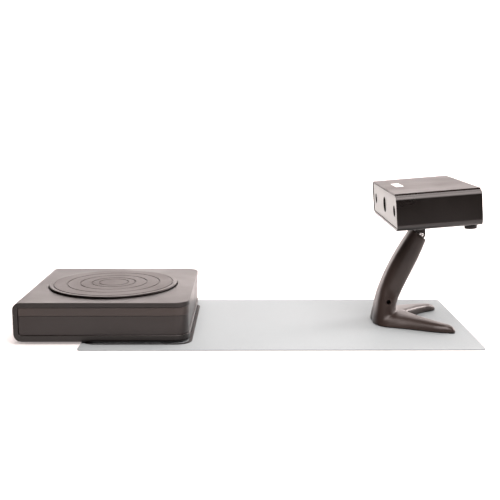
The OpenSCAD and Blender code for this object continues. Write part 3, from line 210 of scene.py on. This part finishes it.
def markSharp(bm, sharp):
    for face in bm.faces:
        face.smooth = True
    for edge in bm.edges:
        edge.smooth = len(edge.link_faces) == 2 and edge.calc_face_angle(0) < math.radians(sharp)


def finishPiece(bm, name, covers, sharp=32, body=None, slotName=None):
    # mesh and object at the origin, worn by the body of the node that it stands for
    markSharp(bm, sharp)
    mesh = bpy.data.meshes.new(name)
    bm.to_mesh(mesh)
    bm.free()
    body = body or bodyOf[covers[0]]
    slotName = slotName or slotOf[covers[0]]
    mesh.materials.append(finishes[slotName])
    piece = bpy.data.objects.new(name, mesh)
    bpy.context.scene.collection.objects.link(piece)
    weigh = piece.modifiers.new("flatFaces", "WEIGHTED_NORMAL")
    weigh.keep_sharp = True
    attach(piece, body)
    if covers:
        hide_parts(*covers)
    return piece


def mergedCopy(nodeName):
    bm = bmesh.new()
    bm.from_mesh(nodes[nodeName].data)
    bmesh.ops.remove_doubles(bm, verts=bm.verts[:], dist=0.002 * mm)
    return bm


def sharpEdges(bm, angle):
    return [e for e in bm.edges if len(e.link_faces) == 2 and e.calc_face_angle(0) > math.radians(angle)]


def softEdges(nodeName, width, segments, angle=35, reshape=None):
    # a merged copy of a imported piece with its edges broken, as a mould or a deburring leaves them
    bm = mergedCopy(nodeName)
    if reshape:
        reshape(bm)
    bmesh.ops.dissolve_limit(bm, angle_limit=math.radians(0.5), verts=bm.verts[:], edges=bm.edges[:])
    bmesh.ops.bevel(bm, geom=sharpEdges(bm, angle), offset=width * mm, offset_type="OFFSET",
                    segments=segments, profile=0.5, affect="EDGES", material=-1, clamp_overlap=False)
    return bm


def carve(bm, cutters):
    # takes closed cutters out of a closed form
    made = []
    for index, part in enumerate([bm, *cutters]):
        mesh = bpy.data.meshes.new("carving")
        part.to_mesh(mesh)
        part.free()
        made.append(bpy.data.objects.new("carving" + str(index), mesh))
        bpy.context.scene.collection.objects.link(made[-1])
    for cutter in made[1:]:
        step = made[0].modifiers.new("cut", "BOOLEAN")
        step.operation = "DIFFERENCE"
        step.solver = "EXACT"
        step.object = cutter
    cut = made[0].evaluated_get(bpy.context.evaluated_depsgraph_get())
    result = bmesh.new()
    result.from_mesh(cut.to_mesh())
    cut.to_mesh_clear()
    for piece in made:
        mesh = piece.data
        bpy.data.objects.remove(piece)
        bpy.data.meshes.remove(mesh)
    return result


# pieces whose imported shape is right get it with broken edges: width in millimetres, and segments
edgeBreaks = {
    "locating_plate": (0.3, 2), "locating_strip": (0.15, 2),
    "turntable_wrap": (0.9, 4), "turntable_lower_frame": (0.5, 3), "turntable_upper_frame": (0.5, 3),
    "turntable_feet": (0.3, 2), "turntable_base_screws": (0.3, 2), "turntable_socket": (0.4, 2),
    "stand_screw": (0.3, 2), "stand_sole_pads": (0.1, 1),
    "hinge_bracket": (0.6, 3), "hinge_bolt": (0.5, 3), "hinge_nut": (0.4, 2),
    "bracket_screws": (0.3, 2), "head_top_cover": (0.6, 3),
    "front_plate": (0.5, 3), "blank_badge": (0.08, 1), "rear_panel": (0.4, 2),
    "rear_panel_screws": (0.3, 2), "usb_socket": (0.25, 2), "power_jack": (0.4, 2),
    "turntable_port": (0.4, 2), "power_button": (0.6, 3), "head_pads": (1.0, 4),
    "fan_frame": (0.4, 2), "fan_rotor": (0.25, 2),
}
for nodeName, (width, segments) in edgeBreaks.items():
    finishPiece(softEdges(nodeName, width, segments), nodeName + "_finished", [nodeName])
print("edges broken on", len(edgeBreaks), "pieces")


def spunPiece(outline, centre, turn, steps=160):
    # closed form turned about its own axis; the outline is (radius, height) pairs from axis to axis
    bm = bmesh.new()
    points = [bm.verts.new((r * mm, 0, z * mm)) for r, z in outline]
    for a, b in zip(points, points[1:]):
        bm.edges.new((a, b))
    bmesh.ops.spin(bm, geom=bm.verts[:] + bm.edges[:], cent=(0, 0, 0), axis=(0, 0, 1), dvec=(0, 0, 0),
                   angle=2 * math.pi, steps=steps, use_merge=True)
    bmesh.ops.remove_doubles(bm, verts=bm.verts[:], dist=0.003 * mm)
    bmesh.ops.transform(bm, matrix=Matrix.Translation(centre) @ turn, verts=bm.verts[:])
    bmesh.ops.recalc_face_normals(bm, faces=bm.faces[:])
    return bm


def cornerArc(centre, radius, start, end, count=4):
    # points of a rounded corner, angles in degrees
    steps = [math.radians(start + (end - start) * i / count) for i in range(count + 1)]
    return [(centre[0] + radius * math.cos(a), centre[1] + radius * math.sin(a)) for a in steps]


# platter and its ringed mat, in millimetres
platterShape = {
    "radius": 82.4, "thickness": 7.0, "rimRound": 0.9, "rimDepth": 1.7, "undercut": 1.9,
    "hubRadius": 13.0, "boreRadius": 4.0, "boreDepth": 6.0,
    "matRadius": 76.55, "recessRadius": 77.25, "recess": 1.2, "matRise": 0.3, "matRound": 0.3,
    "circles": (59.5, 43.0, 28.0, 19.0), "grooveWidth": 1.25, "grooveDepth": 0.95, "grooveLip": 0.2,
}


def makePlatter(s):
    low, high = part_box("platter")
    axis = jointAt["platter_spin"]
    centre = Vector((axis.x, axis.y, 0))
    top, hub = high.z / mm, low.z / mm
    under = top - s["thickness"]
    neck = s["radius"] - s["undercut"]
    rim = cornerArc((s["radius"] - s["rimRound"], top - s["rimRound"]), s["rimRound"], 90, 0)
    outline = [(0, top - s["recess"]), (s["recessRadius"], top - s["recess"]),
               (s["recessRadius"], top - s["matRound"]), (s["recessRadius"] + s["matRound"], top)]
    outline += rim
    outline += [(s["radius"], top - s["rimDepth"]), (neck, top - s["rimDepth"] - s["undercut"] / 2),
                (neck, under), (s["hubRadius"], under), (s["hubRadius"], hub), (s["boreRadius"], hub),
                (s["boreRadius"], hub + s["boreDepth"]), (0, hub + s["boreDepth"])]
    finishPiece(spunPiece(outline, centre, Matrix()), "platter_turned", ["platter"])

    face = top + s["matRise"]
    outline = [(0, face)]
    for r in sorted(s["circles"]):
        half, lip, floor = s["grooveWidth"] / 2, s["grooveLip"], face - s["grooveDepth"]
        outline += [(r - half - lip, face), (r - half, face - lip),
                    (r - half, floor + lip), (r - half + lip, floor),
                    (r + half - lip, floor), (r + half, floor + lip),
                    (r + half, face - lip), (r + half + lip, face)]
    outline += cornerArc((s["matRadius"] - s["matRound"], face - s["matRound"]), s["matRound"], 90, 0)
    outline += [(s["matRadius"], top - s["recess"]), (0, top - s["recess"])]
    finishPiece(spunPiece(outline, centre, Matrix()), "mat_with_grooves", ["platter_mat"])


makePlatter(platterShape)
print("platter turned")


# head: shell with lowered shoulders and hooded windows, in millimetres from the head's middle;
# its length runs along the fan's axis, nose down
headShape = {
    "behindHinge": 7.4, "aboveHinge": 41.3, "length": 102.0, "width": 184.0, "height": 44.6,
    "topRadius": 6.5, "shoulder": 7.0, "step": 1.6, "edge": 0.35,
    "arcSlack": 0.02, "arcBeside": 1.0, "pocketSlack": 0.1, "pocketRise": 0.5,
    "faceInset": 1.0, "faceThickness": 2.0, "cameraIn": 23.0, "cameraRadius": 6.75, "projectorRadius": 10.0,
    "hoodWall": 0.9, "hoodLip": 0.15, "hoodDeep": 2.0, "hoodGap": 0.05, "hoodFlat": (0.2, 0.45),
    "lensBulge": 1.1, "lensBack": 3.45, "lap": 1.4,
}
headLong = Vector(next(j for j in frame["joints"] if j["name"] == "fan_spin")["axis"])
headUp = headLong.cross(Vector((0, 1, 0)))
headTurn = Matrix((headLong, (0, 1, 0), headUp)).transposed().to_4x4()
headMiddle = (jointAt["head_tilt"] + headLong * headShape["behindHinge"] * mm
              + headUp * headShape["aboveHinge"] * mm)
headPlace = Matrix.Translation(headMiddle) @ headTurn


def lowerShoulders(bm):
    # the long shoulders lie lower than the cover, so that its edge reads as a dark line
    s = headShape
    toHead = headPlace.inverted()
    drop = headUp * -s["step"] * mm
    arcFoot = s["height"] / 2 - s["topRadius"] - s["arcSlack"]
    pocket = s["width"] / 2 - s["shoulder"]
    moved = []
    for v in bm.verts:
        p = (toHead @ v.co) / mm
        onArc = p.z > arcFoot and abs(p.y) > pocket + s["arcBeside"]
        onPocketEdge = p.z > s["height"] / 2 - s["pocketRise"] and abs(p.y) > pocket + s["pocketSlack"]
        if onArc or onPocketEdge:
            moved.append(v)
    bmesh.ops.translate(bm, verts=moved, vec=drop)


def makeHead(s):
    bm = softEdges("head_shell", s["edge"], 3, reshape=lowerShoulders)
    finishPiece(bm, "head_shell_moulded", ["head_shell"])
    face = -s["length"] / 2 + s["faceInset"]
    pitch = s["width"] / 2 - s["cameraIn"]
    intoHead = Matrix.Rotation(math.pi / 2, 4, "Y")
    for label, radius, places in (("camera", s["cameraRadius"], (-pitch, pitch)),
                                  ("projector", s["projectorRadius"], (0,))):
        glass = bmesh.new()
        hood = bmesh.new()
        for side in places:
            centre = headPlace @ Vector((face * mm, side * mm, 0))
            turn = headTurn @ intoHead
            gap, (start, end) = s["hoodGap"], s["hoodFlat"]
            outer, inner = radius - gap, radius - s["hoodWall"]
            mouth = [(outer, s["hoodDeep"]), (outer, s["hoodLip"]), (outer - start, gap), (outer - end, gap),
                     (inner, s["hoodDeep"])]
            ring = spunPiece(mouth + mouth[:1], centre, turn, 64)
            joinInto(hood, ring)
            rim = s["faceThickness"] + gap
            bulge = s["lensBulge"]
            dome = [(inner * math.sin(a), rim + bulge * (1 - math.cos(a)))
                    for a in (math.radians(d) for d in range(0, 91, 10))]
            back = [(radius + s["lap"], rim + bulge), (radius + s["lap"], s["lensBack"]),
                    (0, s["lensBack"])]
            joinInto(glass, spunPiece(dome + back, centre, turn, 64))
        window = label + ("_windows" if len(places) > 1 else "_window")
        finishPiece(glass, label + "_lens_domes", [window])
        finishPiece(hood, label + "_hoods", [], body="head", slotName="barrel_black")


def joinInto(target, part):
    mesh = bpy.data.meshes.new("part")
    part.to_mesh(mesh)
    part.free()
    target.from_mesh(mesh)
    bpy.data.meshes.remove(mesh)


makeHead(headShape)
print("head moulded")


# stand: arm and legs flow into each other, cast in two halves
# millimetres, in the stand's own frame: x back from the toe, y outwards, z up from the plate
standShape = {
    "toe": 56.7, "hinge": 117.2, "heel": 30.5, "sole": 0.6,
    "footHalf": 21.5, "topHalf": 17.0, "lipFront": (-10.5, 6.7), "lipRear": (7.8, -7.2), "armCorner": 0.6,
    # shares of the toe's reach and the hinge's height, and of the heel: how the arm's long lines bend
    "frontFoot": 0.34, "frontTop": (0.53, 0.385), "rearFoot": (0.5, 0.19), "rearTop": (0.29, 0.427),
    "armRows": (1.0, 0.85, 0.7, 0.55, 0.43), "rowSteps": 8,
    "mouthWall": 1.4, "mouthDepth": 15.0, "mouthEnd": 1.012, "mouthSteps": 8,
    "screwSeat": 12.0, "screwHead": 3.0, "screwUp": 0.3, "boreLength": 30.0,
    "spineGap": 0.05, "ballastGap": 0.3,
    "voxel": 0.9, "crease": (10.0, 30), "creaseAbove": 2.0, "creaseDip": 0.12, "smoothing": 5,
    # sections from the arm round the heel to the leg's tip: inner point, outer point,
    # half width, turn of the section in degrees, roundness of its outer and inner side
    "sections": [
        ((28.8, 0.5, 27.5), (5.0, 0.5, 39.6), 20.6, 0, 0.62, 0.6),
        ((28.0, 1.5, 20.0), (1.8, 2.0, 24.0), 22.0, 2, 0.75, 0.6),
        ((28.5, 4.5, 16.8), (-1.5, 4.0, -1.5), 24.0, 8, 0.9, 0.6),
        ((32.0, 10.0, 16.0), (9.0, 13.0, -9.0), 23.5, 22, 0.85, 0.6),
        ((39.0, 20.0, 15.0), (27.0, 24.0, -9.0), 19.5, 32, 0.8, 0.6),
        ((48.0, 29.0, 13.8), (43.0, 34.0, -8.0), 15.5, 36, 0.8, 0.6),
        ((61.5, 40.0, 12.4), (59.0, 44.5, -7.0), 12.0, 30, 0.8, 0.6),
        ((74.0, 49.5, 11.0), (73.0, 52.5, -6.0), 9.6, 24, 0.8, 0.6),
        ((84.0, 55.0, 9.8), (84.0, 56.5, -5.5), 8.0, 22, 0.8, 0.65),
        ((89.5, 57.0, 8.0), (89.5, 58.5, -5.0), 6.4, 22, 0.85, 0.7),
        ((92.5, 58.6, 5.8), (92.5, 59.6, -3.5), 4.6, 22, 0.8, 0.8),
        ((94.2, 59.6, 3.2), (94.2, 60.0, -1.6), 2.2, 22, 1.0, 1.0),
    ],
}


def bezier(p, t):
    return p[0] * (1 - t) ** 3 + p[1] * 3 * t * (1 - t) ** 2 + p[2] * 3 * t * t * (1 - t) + p[3] * t ** 3


def softPower(value, power):
    return math.copysign(abs(value) ** power, value)


def standCurves(s):
    lipFront = Vector((s["toe"] + s["lipFront"][0], s["hinge"] + s["lipFront"][1]))
    lipRear = Vector((s["toe"] + s["lipRear"][0], s["hinge"] + s["lipRear"][1]))
    tall, heel = s["hinge"], s["heel"]
    return {
        "front": [Vector((0, s["sole"])), Vector((0, tall * s["frontFoot"])),
                  lipFront - Vector((s["toe"] * s["frontTop"][0], tall * s["frontTop"][1])), lipFront],
        "rear": [Vector((heel, s["sole"])), Vector((heel * s["rearFoot"][0], tall * s["rearFoot"][1])),
                 lipRear - Vector((s["toe"] * s["rearTop"][0], tall * s["rearTop"][1])), lipRear],
    }


def armSection(s, lines, t):
    # a row like those of the sections table, taken from the arm's two long lines
    front, rear = bezier(lines["front"], t), bezier(lines["rear"], t)
    half = s["footHalf"] + (s["topHalf"] - s["footHalf"]) * math.sin(math.radians(90 * t))
    return ((rear.x, 0, rear.y), (front.x, 0, front.y), half, 0, s["armCorner"], s["armCorner"])


def sectionRing(s, section, side, wall=0.0, count=72):
    inner, outer = Vector(section[0]), Vector(section[1])
    half, turn, outerPower, innerPower = section[2:]
    middle, along = (inner + outer) / 2, (inner - outer) / 2
    along *= 1 - wall / along.length
    across = Vector((-math.sin(math.radians(turn)), math.cos(math.radians(turn)), 0)) * (half - wall)
    ring = []
    for k in range(count):
        a = 2 * math.pi * k / count
        power = outerPower if math.sin(a) > 0 else innerPower
        p = middle + along * softPower(math.cos(a), power) + across * softPower(math.sin(a), power)
        ring.append((p.x, side * p.y, max(p.z, s["sole"])))
    return ring


def smoothStep(p, q, r, w, t):
    # from q to r, bent by the value before and the value after
    return (2 * q + (r - p) * t + (2 * p - 5 * q + 4 * r - w) * t * t + (3 * q - p - 3 * r + w) * t ** 3) / 2


def between(rows, steps):
    # a smooth run of sections through the rows of the table
    flat = [[*row[0], *row[1], *row[2:]] for row in rows]
    run = []
    for i in range(len(flat) - 1):
        a, b, c, d = flat[max(i - 1, 0)], flat[i], flat[i + 1], flat[min(i + 2, len(flat) - 1)]
        for k in range(steps):
            v = [smoothStep(*four, k / steps) for four in zip(a, b, c, d)]
            run.append((v[0:3], v[3:6], *v[6:]))
    return run + [rows[-1]]


def extrudeRings(bm, rings):
    # each ring is one more extrusion of the one before
    ring = [bm.verts.new(p) for p in rings[0]]
    edges = [bm.edges.new((a, b)) for a, b in zip(ring, ring[1:] + ring[:1])]
    bm.faces.new(ring)
    for points in rings[1:]:
        grown = bmesh.ops.extrude_edge_only(bm, edges=edges)["geom"]
        fresh = {g for g in grown if isinstance(g, bmesh.types.BMVert)}
        follow = {}
        for v in fresh:
            for e in v.link_edges:
                if e.other_vert(v) not in fresh:
                    follow[e.other_vert(v)] = v
        ring = [follow[v] for v in ring]
        edges = [bm.edges.get((a, b)) for a, b in zip(ring, ring[1:] + ring[:1])]
        for v, p in zip(ring, points):
            v.co = p
    bm.faces.new(ring)
    bmesh.ops.recalc_face_normals(bm, faces=bm.faces[:])


def remeshed(bm, voxel):
    mesh = bpy.data.meshes.new("blank")
    bm.to_mesh(mesh)
    bm.free()
    blank = bpy.data.objects.new("blank", mesh)
    bpy.context.scene.collection.objects.link(blank)
    step = blank.modifiers.new("skin", "REMESH")
    step.mode = "VOXEL"
    step.voxel_size = voxel
    skin = blank.evaluated_get(bpy.context.evaluated_depsgraph_get())
    result = bmesh.new()
    result.from_mesh(skin.to_mesh())
    skin.to_mesh_clear()
    bpy.data.objects.remove(blank)
    bpy.data.meshes.remove(mesh)
    return result


def standForm(s):
    lines = standCurves(s)
    arm = [armSection(s, lines, t) for t in s["armRows"]]
    run = between(arm + s["sections"], s["rowSteps"])
    bm = bmesh.new()
    for side in (-1, 1):
        extrudeRings(bm, [sectionRing(s, section, side) for section in run])
    bm = remeshed(bm, s["voxel"])
    # the crease between the two legs is smoothed into a fillet, then the whole skin a little
    bm.normal_update()
    reach, passes = s["crease"]
    hollow = [v for v in bm.verts if v.co.z > s["sole"] + s["creaseAbove"]
              and sum((e.other_vert(v).co - v.co).dot(v.normal) for e in v.link_edges)
              > s["creaseDip"] * s["voxel"]]
    near = nearestOf(hollow)
    band = [v for v in bm.verts if v.co.z > s["sole"] + s["creaseAbove"] / 2 and near.find(v.co)[2] < reach]
    for verts, times in ((band, passes), (bm.verts[:], s["smoothing"])):
        for _ in range(times):
            bmesh.ops.smooth_vert(bm, verts=verts, factor=0.5,
                                  use_axis_x=True, use_axis_y=True, use_axis_z=True)
    return bm, lines


def nearestOf(verts):
    tree = KDTree(len(verts))
    for index, v in enumerate(verts):
        tree.insert(v.co, index)
    tree.balance()
    return tree


def inflated(nodeName, grow):
    bm = mergedCopy(nodeName)
    bm.normal_update()
    for v, step in [(v, v.normal * grow * mm) for v in bm.verts]:
        v.co += step
    return bm


def makeStand(s):
    whole, lines = standForm(s)
    mouth = bmesh.new()
    start = 1 - s["mouthDepth"] / (lines["rear"][3] - lines["rear"][2]).length / 3
    end, steps = s["mouthEnd"], s["mouthSteps"]
    rows = [armSection(s, lines, start + (end - start) * i / steps) for i in range(steps + 1)]
    extrudeRings(mouth, [sectionRing(s, row, 1, s["mouthWall"]) for row in rows])
    toe = Vector((jointAt["head_tilt"].x / mm - s["toe"], jointAt["head_tilt"].y / mm,
                  jointAt["head_tilt"].z / mm - s["hinge"]))
    place = Matrix.Scale(mm, 4) @ Matrix.Translation(toe)
    bore = bmesh.new()
    screwAt = (bezier(lines["front"], s["screwUp"]) + bezier(lines["rear"], s["screwUp"])) / 2
    seat = Matrix.Translation((screwAt.x, -s["screwSeat"] - s["boreLength"] / 2, screwAt.y))
    bmesh.ops.create_cone(bore, cap_ends=True, segments=48, radius1=s["screwHead"], radius2=s["screwHead"],
                          depth=s["boreLength"], matrix=seat @ Matrix.Rotation(math.pi / 2, 4, "X"))
    for part in (whole, mouth, bore):
        bmesh.ops.transform(part, matrix=place, verts=part.verts[:])
    cutters = [mouth, bore, inflated("stand_spine", s["spineGap"]),
               inflated("stand_ballast", s["ballastGap"])]
    body = carve(whole, cutters)
    middle = toe.y * mm
    for nodeName, side in (("stand_near_half", -1), ("stand_far_half", 1)):
        half = body.copy()
        bmesh.ops.bisect_plane(half, geom=half.verts[:] + half.edges[:] + half.faces[:],
                               dist=0.0001 * mm, plane_co=(0, middle, 0), plane_no=(0, -side, 0),
                               clear_outer=True)
        rim = [e for e in half.edges if len(e.link_faces) == 1]
        bmesh.ops.triangle_fill(half, use_beauty=True, use_dissolve=True, edges=rim)
        bmesh.ops.recalc_face_normals(half, faces=half.faces[:])
        finishPiece(half, nodeName + "_cast", [nodeName], sharp=40)
    body.free()


makeStand(standShape)
print("stand cast")


# stage, light and camera
# metres; paper is its shade, glow and hiddenGlow its own light
floorShape = {"radius": 2.6, "bend": 0.7, "height": 1.6, "bendSteps": 10, "turnSteps": 96,
              "paper": 0.6, "glow": 0.35, "front": -0.62, "left": -1.2, "hiddenGlow": 1.3}
warmWhite = (1.0, 0.89, 0.865)
roomGlow = 0.06


def makeFloor(shape):
    # a round of pale paper: floor, soft bend and wall, in three parts
    bm = bmesh.new()
    centre = bm.verts.new((0, 0, 0))
    edge = bm.verts.new((0, shape["radius"] - shape["bend"], 0))
    bm.edges.new((centre, edge))
    bmesh.ops.spin(bm, geom=[edge], cent=(0, edge.co.y, shape["bend"]), axis=(1, 0, 0), dvec=(0, 0, 0),
                   angle=math.pi / 2, steps=shape["bendSteps"], use_merge=False)
    top = max(bm.verts, key=lambda v: v.co.z)
    bm.edges.new((top, bm.verts.new(top.co + Vector((0, 0, shape["height"])))))
    bmesh.ops.spin(bm, geom=bm.verts[:] + bm.edges[:], cent=(0, 0, 0), axis=(0, 0, 1), dvec=(0, 0, 0),
                   angle=2 * math.pi, steps=shape["turnSteps"], use_merge=True)
    bmesh.ops.remove_doubles(bm, verts=bm.verts[:], dist=mm)
    bmesh.ops.recalc_face_normals(bm, faces=bm.faces[:])
    low = Vector((0, shape["front"], 0))
    side = Vector((shape["left"], 0, 0))
    # reflections and soft light don't see its front and left, which keeps those sides of the casing dark
    for name, cuts in (("studioFloor", ((low, (0, -1, 0)), (side, (-1, 0, 0)))),
                       ("studioFront", ((low, (0, 1, 0)),)),
                       ("studioLeft", ((low, (0, -1, 0)), (side, (1, 0, 0))))):
        part = bm.copy()
        for point, away in cuts:
            bmesh.ops.bisect_plane(part, geom=part.verts[:] + part.edges[:] + part.faces[:],
                                   dist=0.01 * mm, plane_co=point, plane_no=away, clear_outer=True)
        mesh = bpy.data.meshes.new(name)
        part.to_mesh(mesh)
        part.free()
        for face in mesh.polygons:
            face.use_smooth = True
        floor = bpy.data.objects.new(name, mesh)
        bpy.context.scene.collection.objects.link(floor)
        lit = name == "studioFloor"
        mat, tree, shader = newMaterial(name + "Paper", roughness=0.9)
        paper = shape["paper"] if lit else 0.0
        shader.inputs["Base Color"].default_value = (paper, paper, paper, 1)
        shader.inputs["Emission Color"].default_value = (*warmWhite, 1)
        shader.inputs["Emission Strength"].default_value = shape["glow"] if lit else shape["hiddenGlow"]
        mesh.materials.append(mat)
        floor.visible_glossy = lit
        floor.visible_diffuse = lit
    bm.free()


makeFloor(floorShape)

# metres and watts; an unmirrored lamp gives light but no reflection
lampSettings = {
    "wideOverhead": {"place": (0.1, 0.95, 1.5), "aim": (0, 0, 0), "size": (2.4, 1.4), "power": 26},
    "keyOverhead": {"place": (0.2, -0.12, 1.25), "aim": (0.2, -0.12, 0), "size": (1.1, 0.9), "power": 14},
    "backFill": {"place": (0.2, 1.2, 1.2), "aim": (0, 2.5, 0.2), "size": (2.4, 0.8), "power": 72},
    "rightSide": {"place": (1.3, 0.5, 0.5), "aim": (0, 0, 0.08), "size": (0.6, 0.6), "power": 17},
    "frontTop": {"place": (0.25, -0.75, 0.95), "aim": (0.2, 0, 0.05), "size": (1.1, 0.8), "power": 21},
    "leftSide": {"place": (-1.3, 0.3, 0.5), "aim": (0.1, 0, 0.1), "size": (0.6, 0.6), "power": 4,
                 "unmirrored": True},
}


def makeLamp(name, s):
    data = bpy.data.lights.new(name, "AREA")
    data.shape = "RECTANGLE"
    data.size, data.size_y = s["size"]
    data.energy = s["power"]
    data.color = warmWhite
    lamp = bpy.data.objects.new(name, data)
    lamp.location = s["place"]
    lamp.rotation_euler = (Vector(s["aim"]) - lamp.location).to_track_quat("-Z", "Y").to_euler()
    lamp.visible_glossy = not s.get("unmirrored", False)
    bpy.context.scene.collection.objects.link(lamp)


for lampName, lampShape in lampSettings.items():
    makeLamp(lampName, lampShape)

world = bpy.data.worlds.new("softRoom")
world.use_nodes = True
world.node_tree.nodes["Background"].inputs["Color"].default_value = (*warmWhite, 1)
world.node_tree.nodes["Background"].inputs["Strength"].default_value = roomGlow
bpy.context.scene.world = world
bpy.context.scene.view_settings.view_transform = "Standard"

# metres, degrees and millimetres, fitted to the photograph
cameraSettings = {"place": (-0.00184, -1.05274, 0.28346), "pitch": 79.99, "yaw": -0.29, "lens": 59.33}


def makeCamera(s):
    data = bpy.data.cameras.new("photoCamera")
    data.sensor_width = 36
    data.lens = s["lens"]
    cam = bpy.data.objects.new("photoCamera", data)
    cam.location = s["place"]
    cam.rotation_euler = (math.radians(s["pitch"]), 0, math.radians(s["yaw"]))
    bpy.context.scene.collection.objects.link(cam)
    bpy.context.scene.camera = cam


makeCamera(cameraSettings)
print("stage, lamps and camera made")
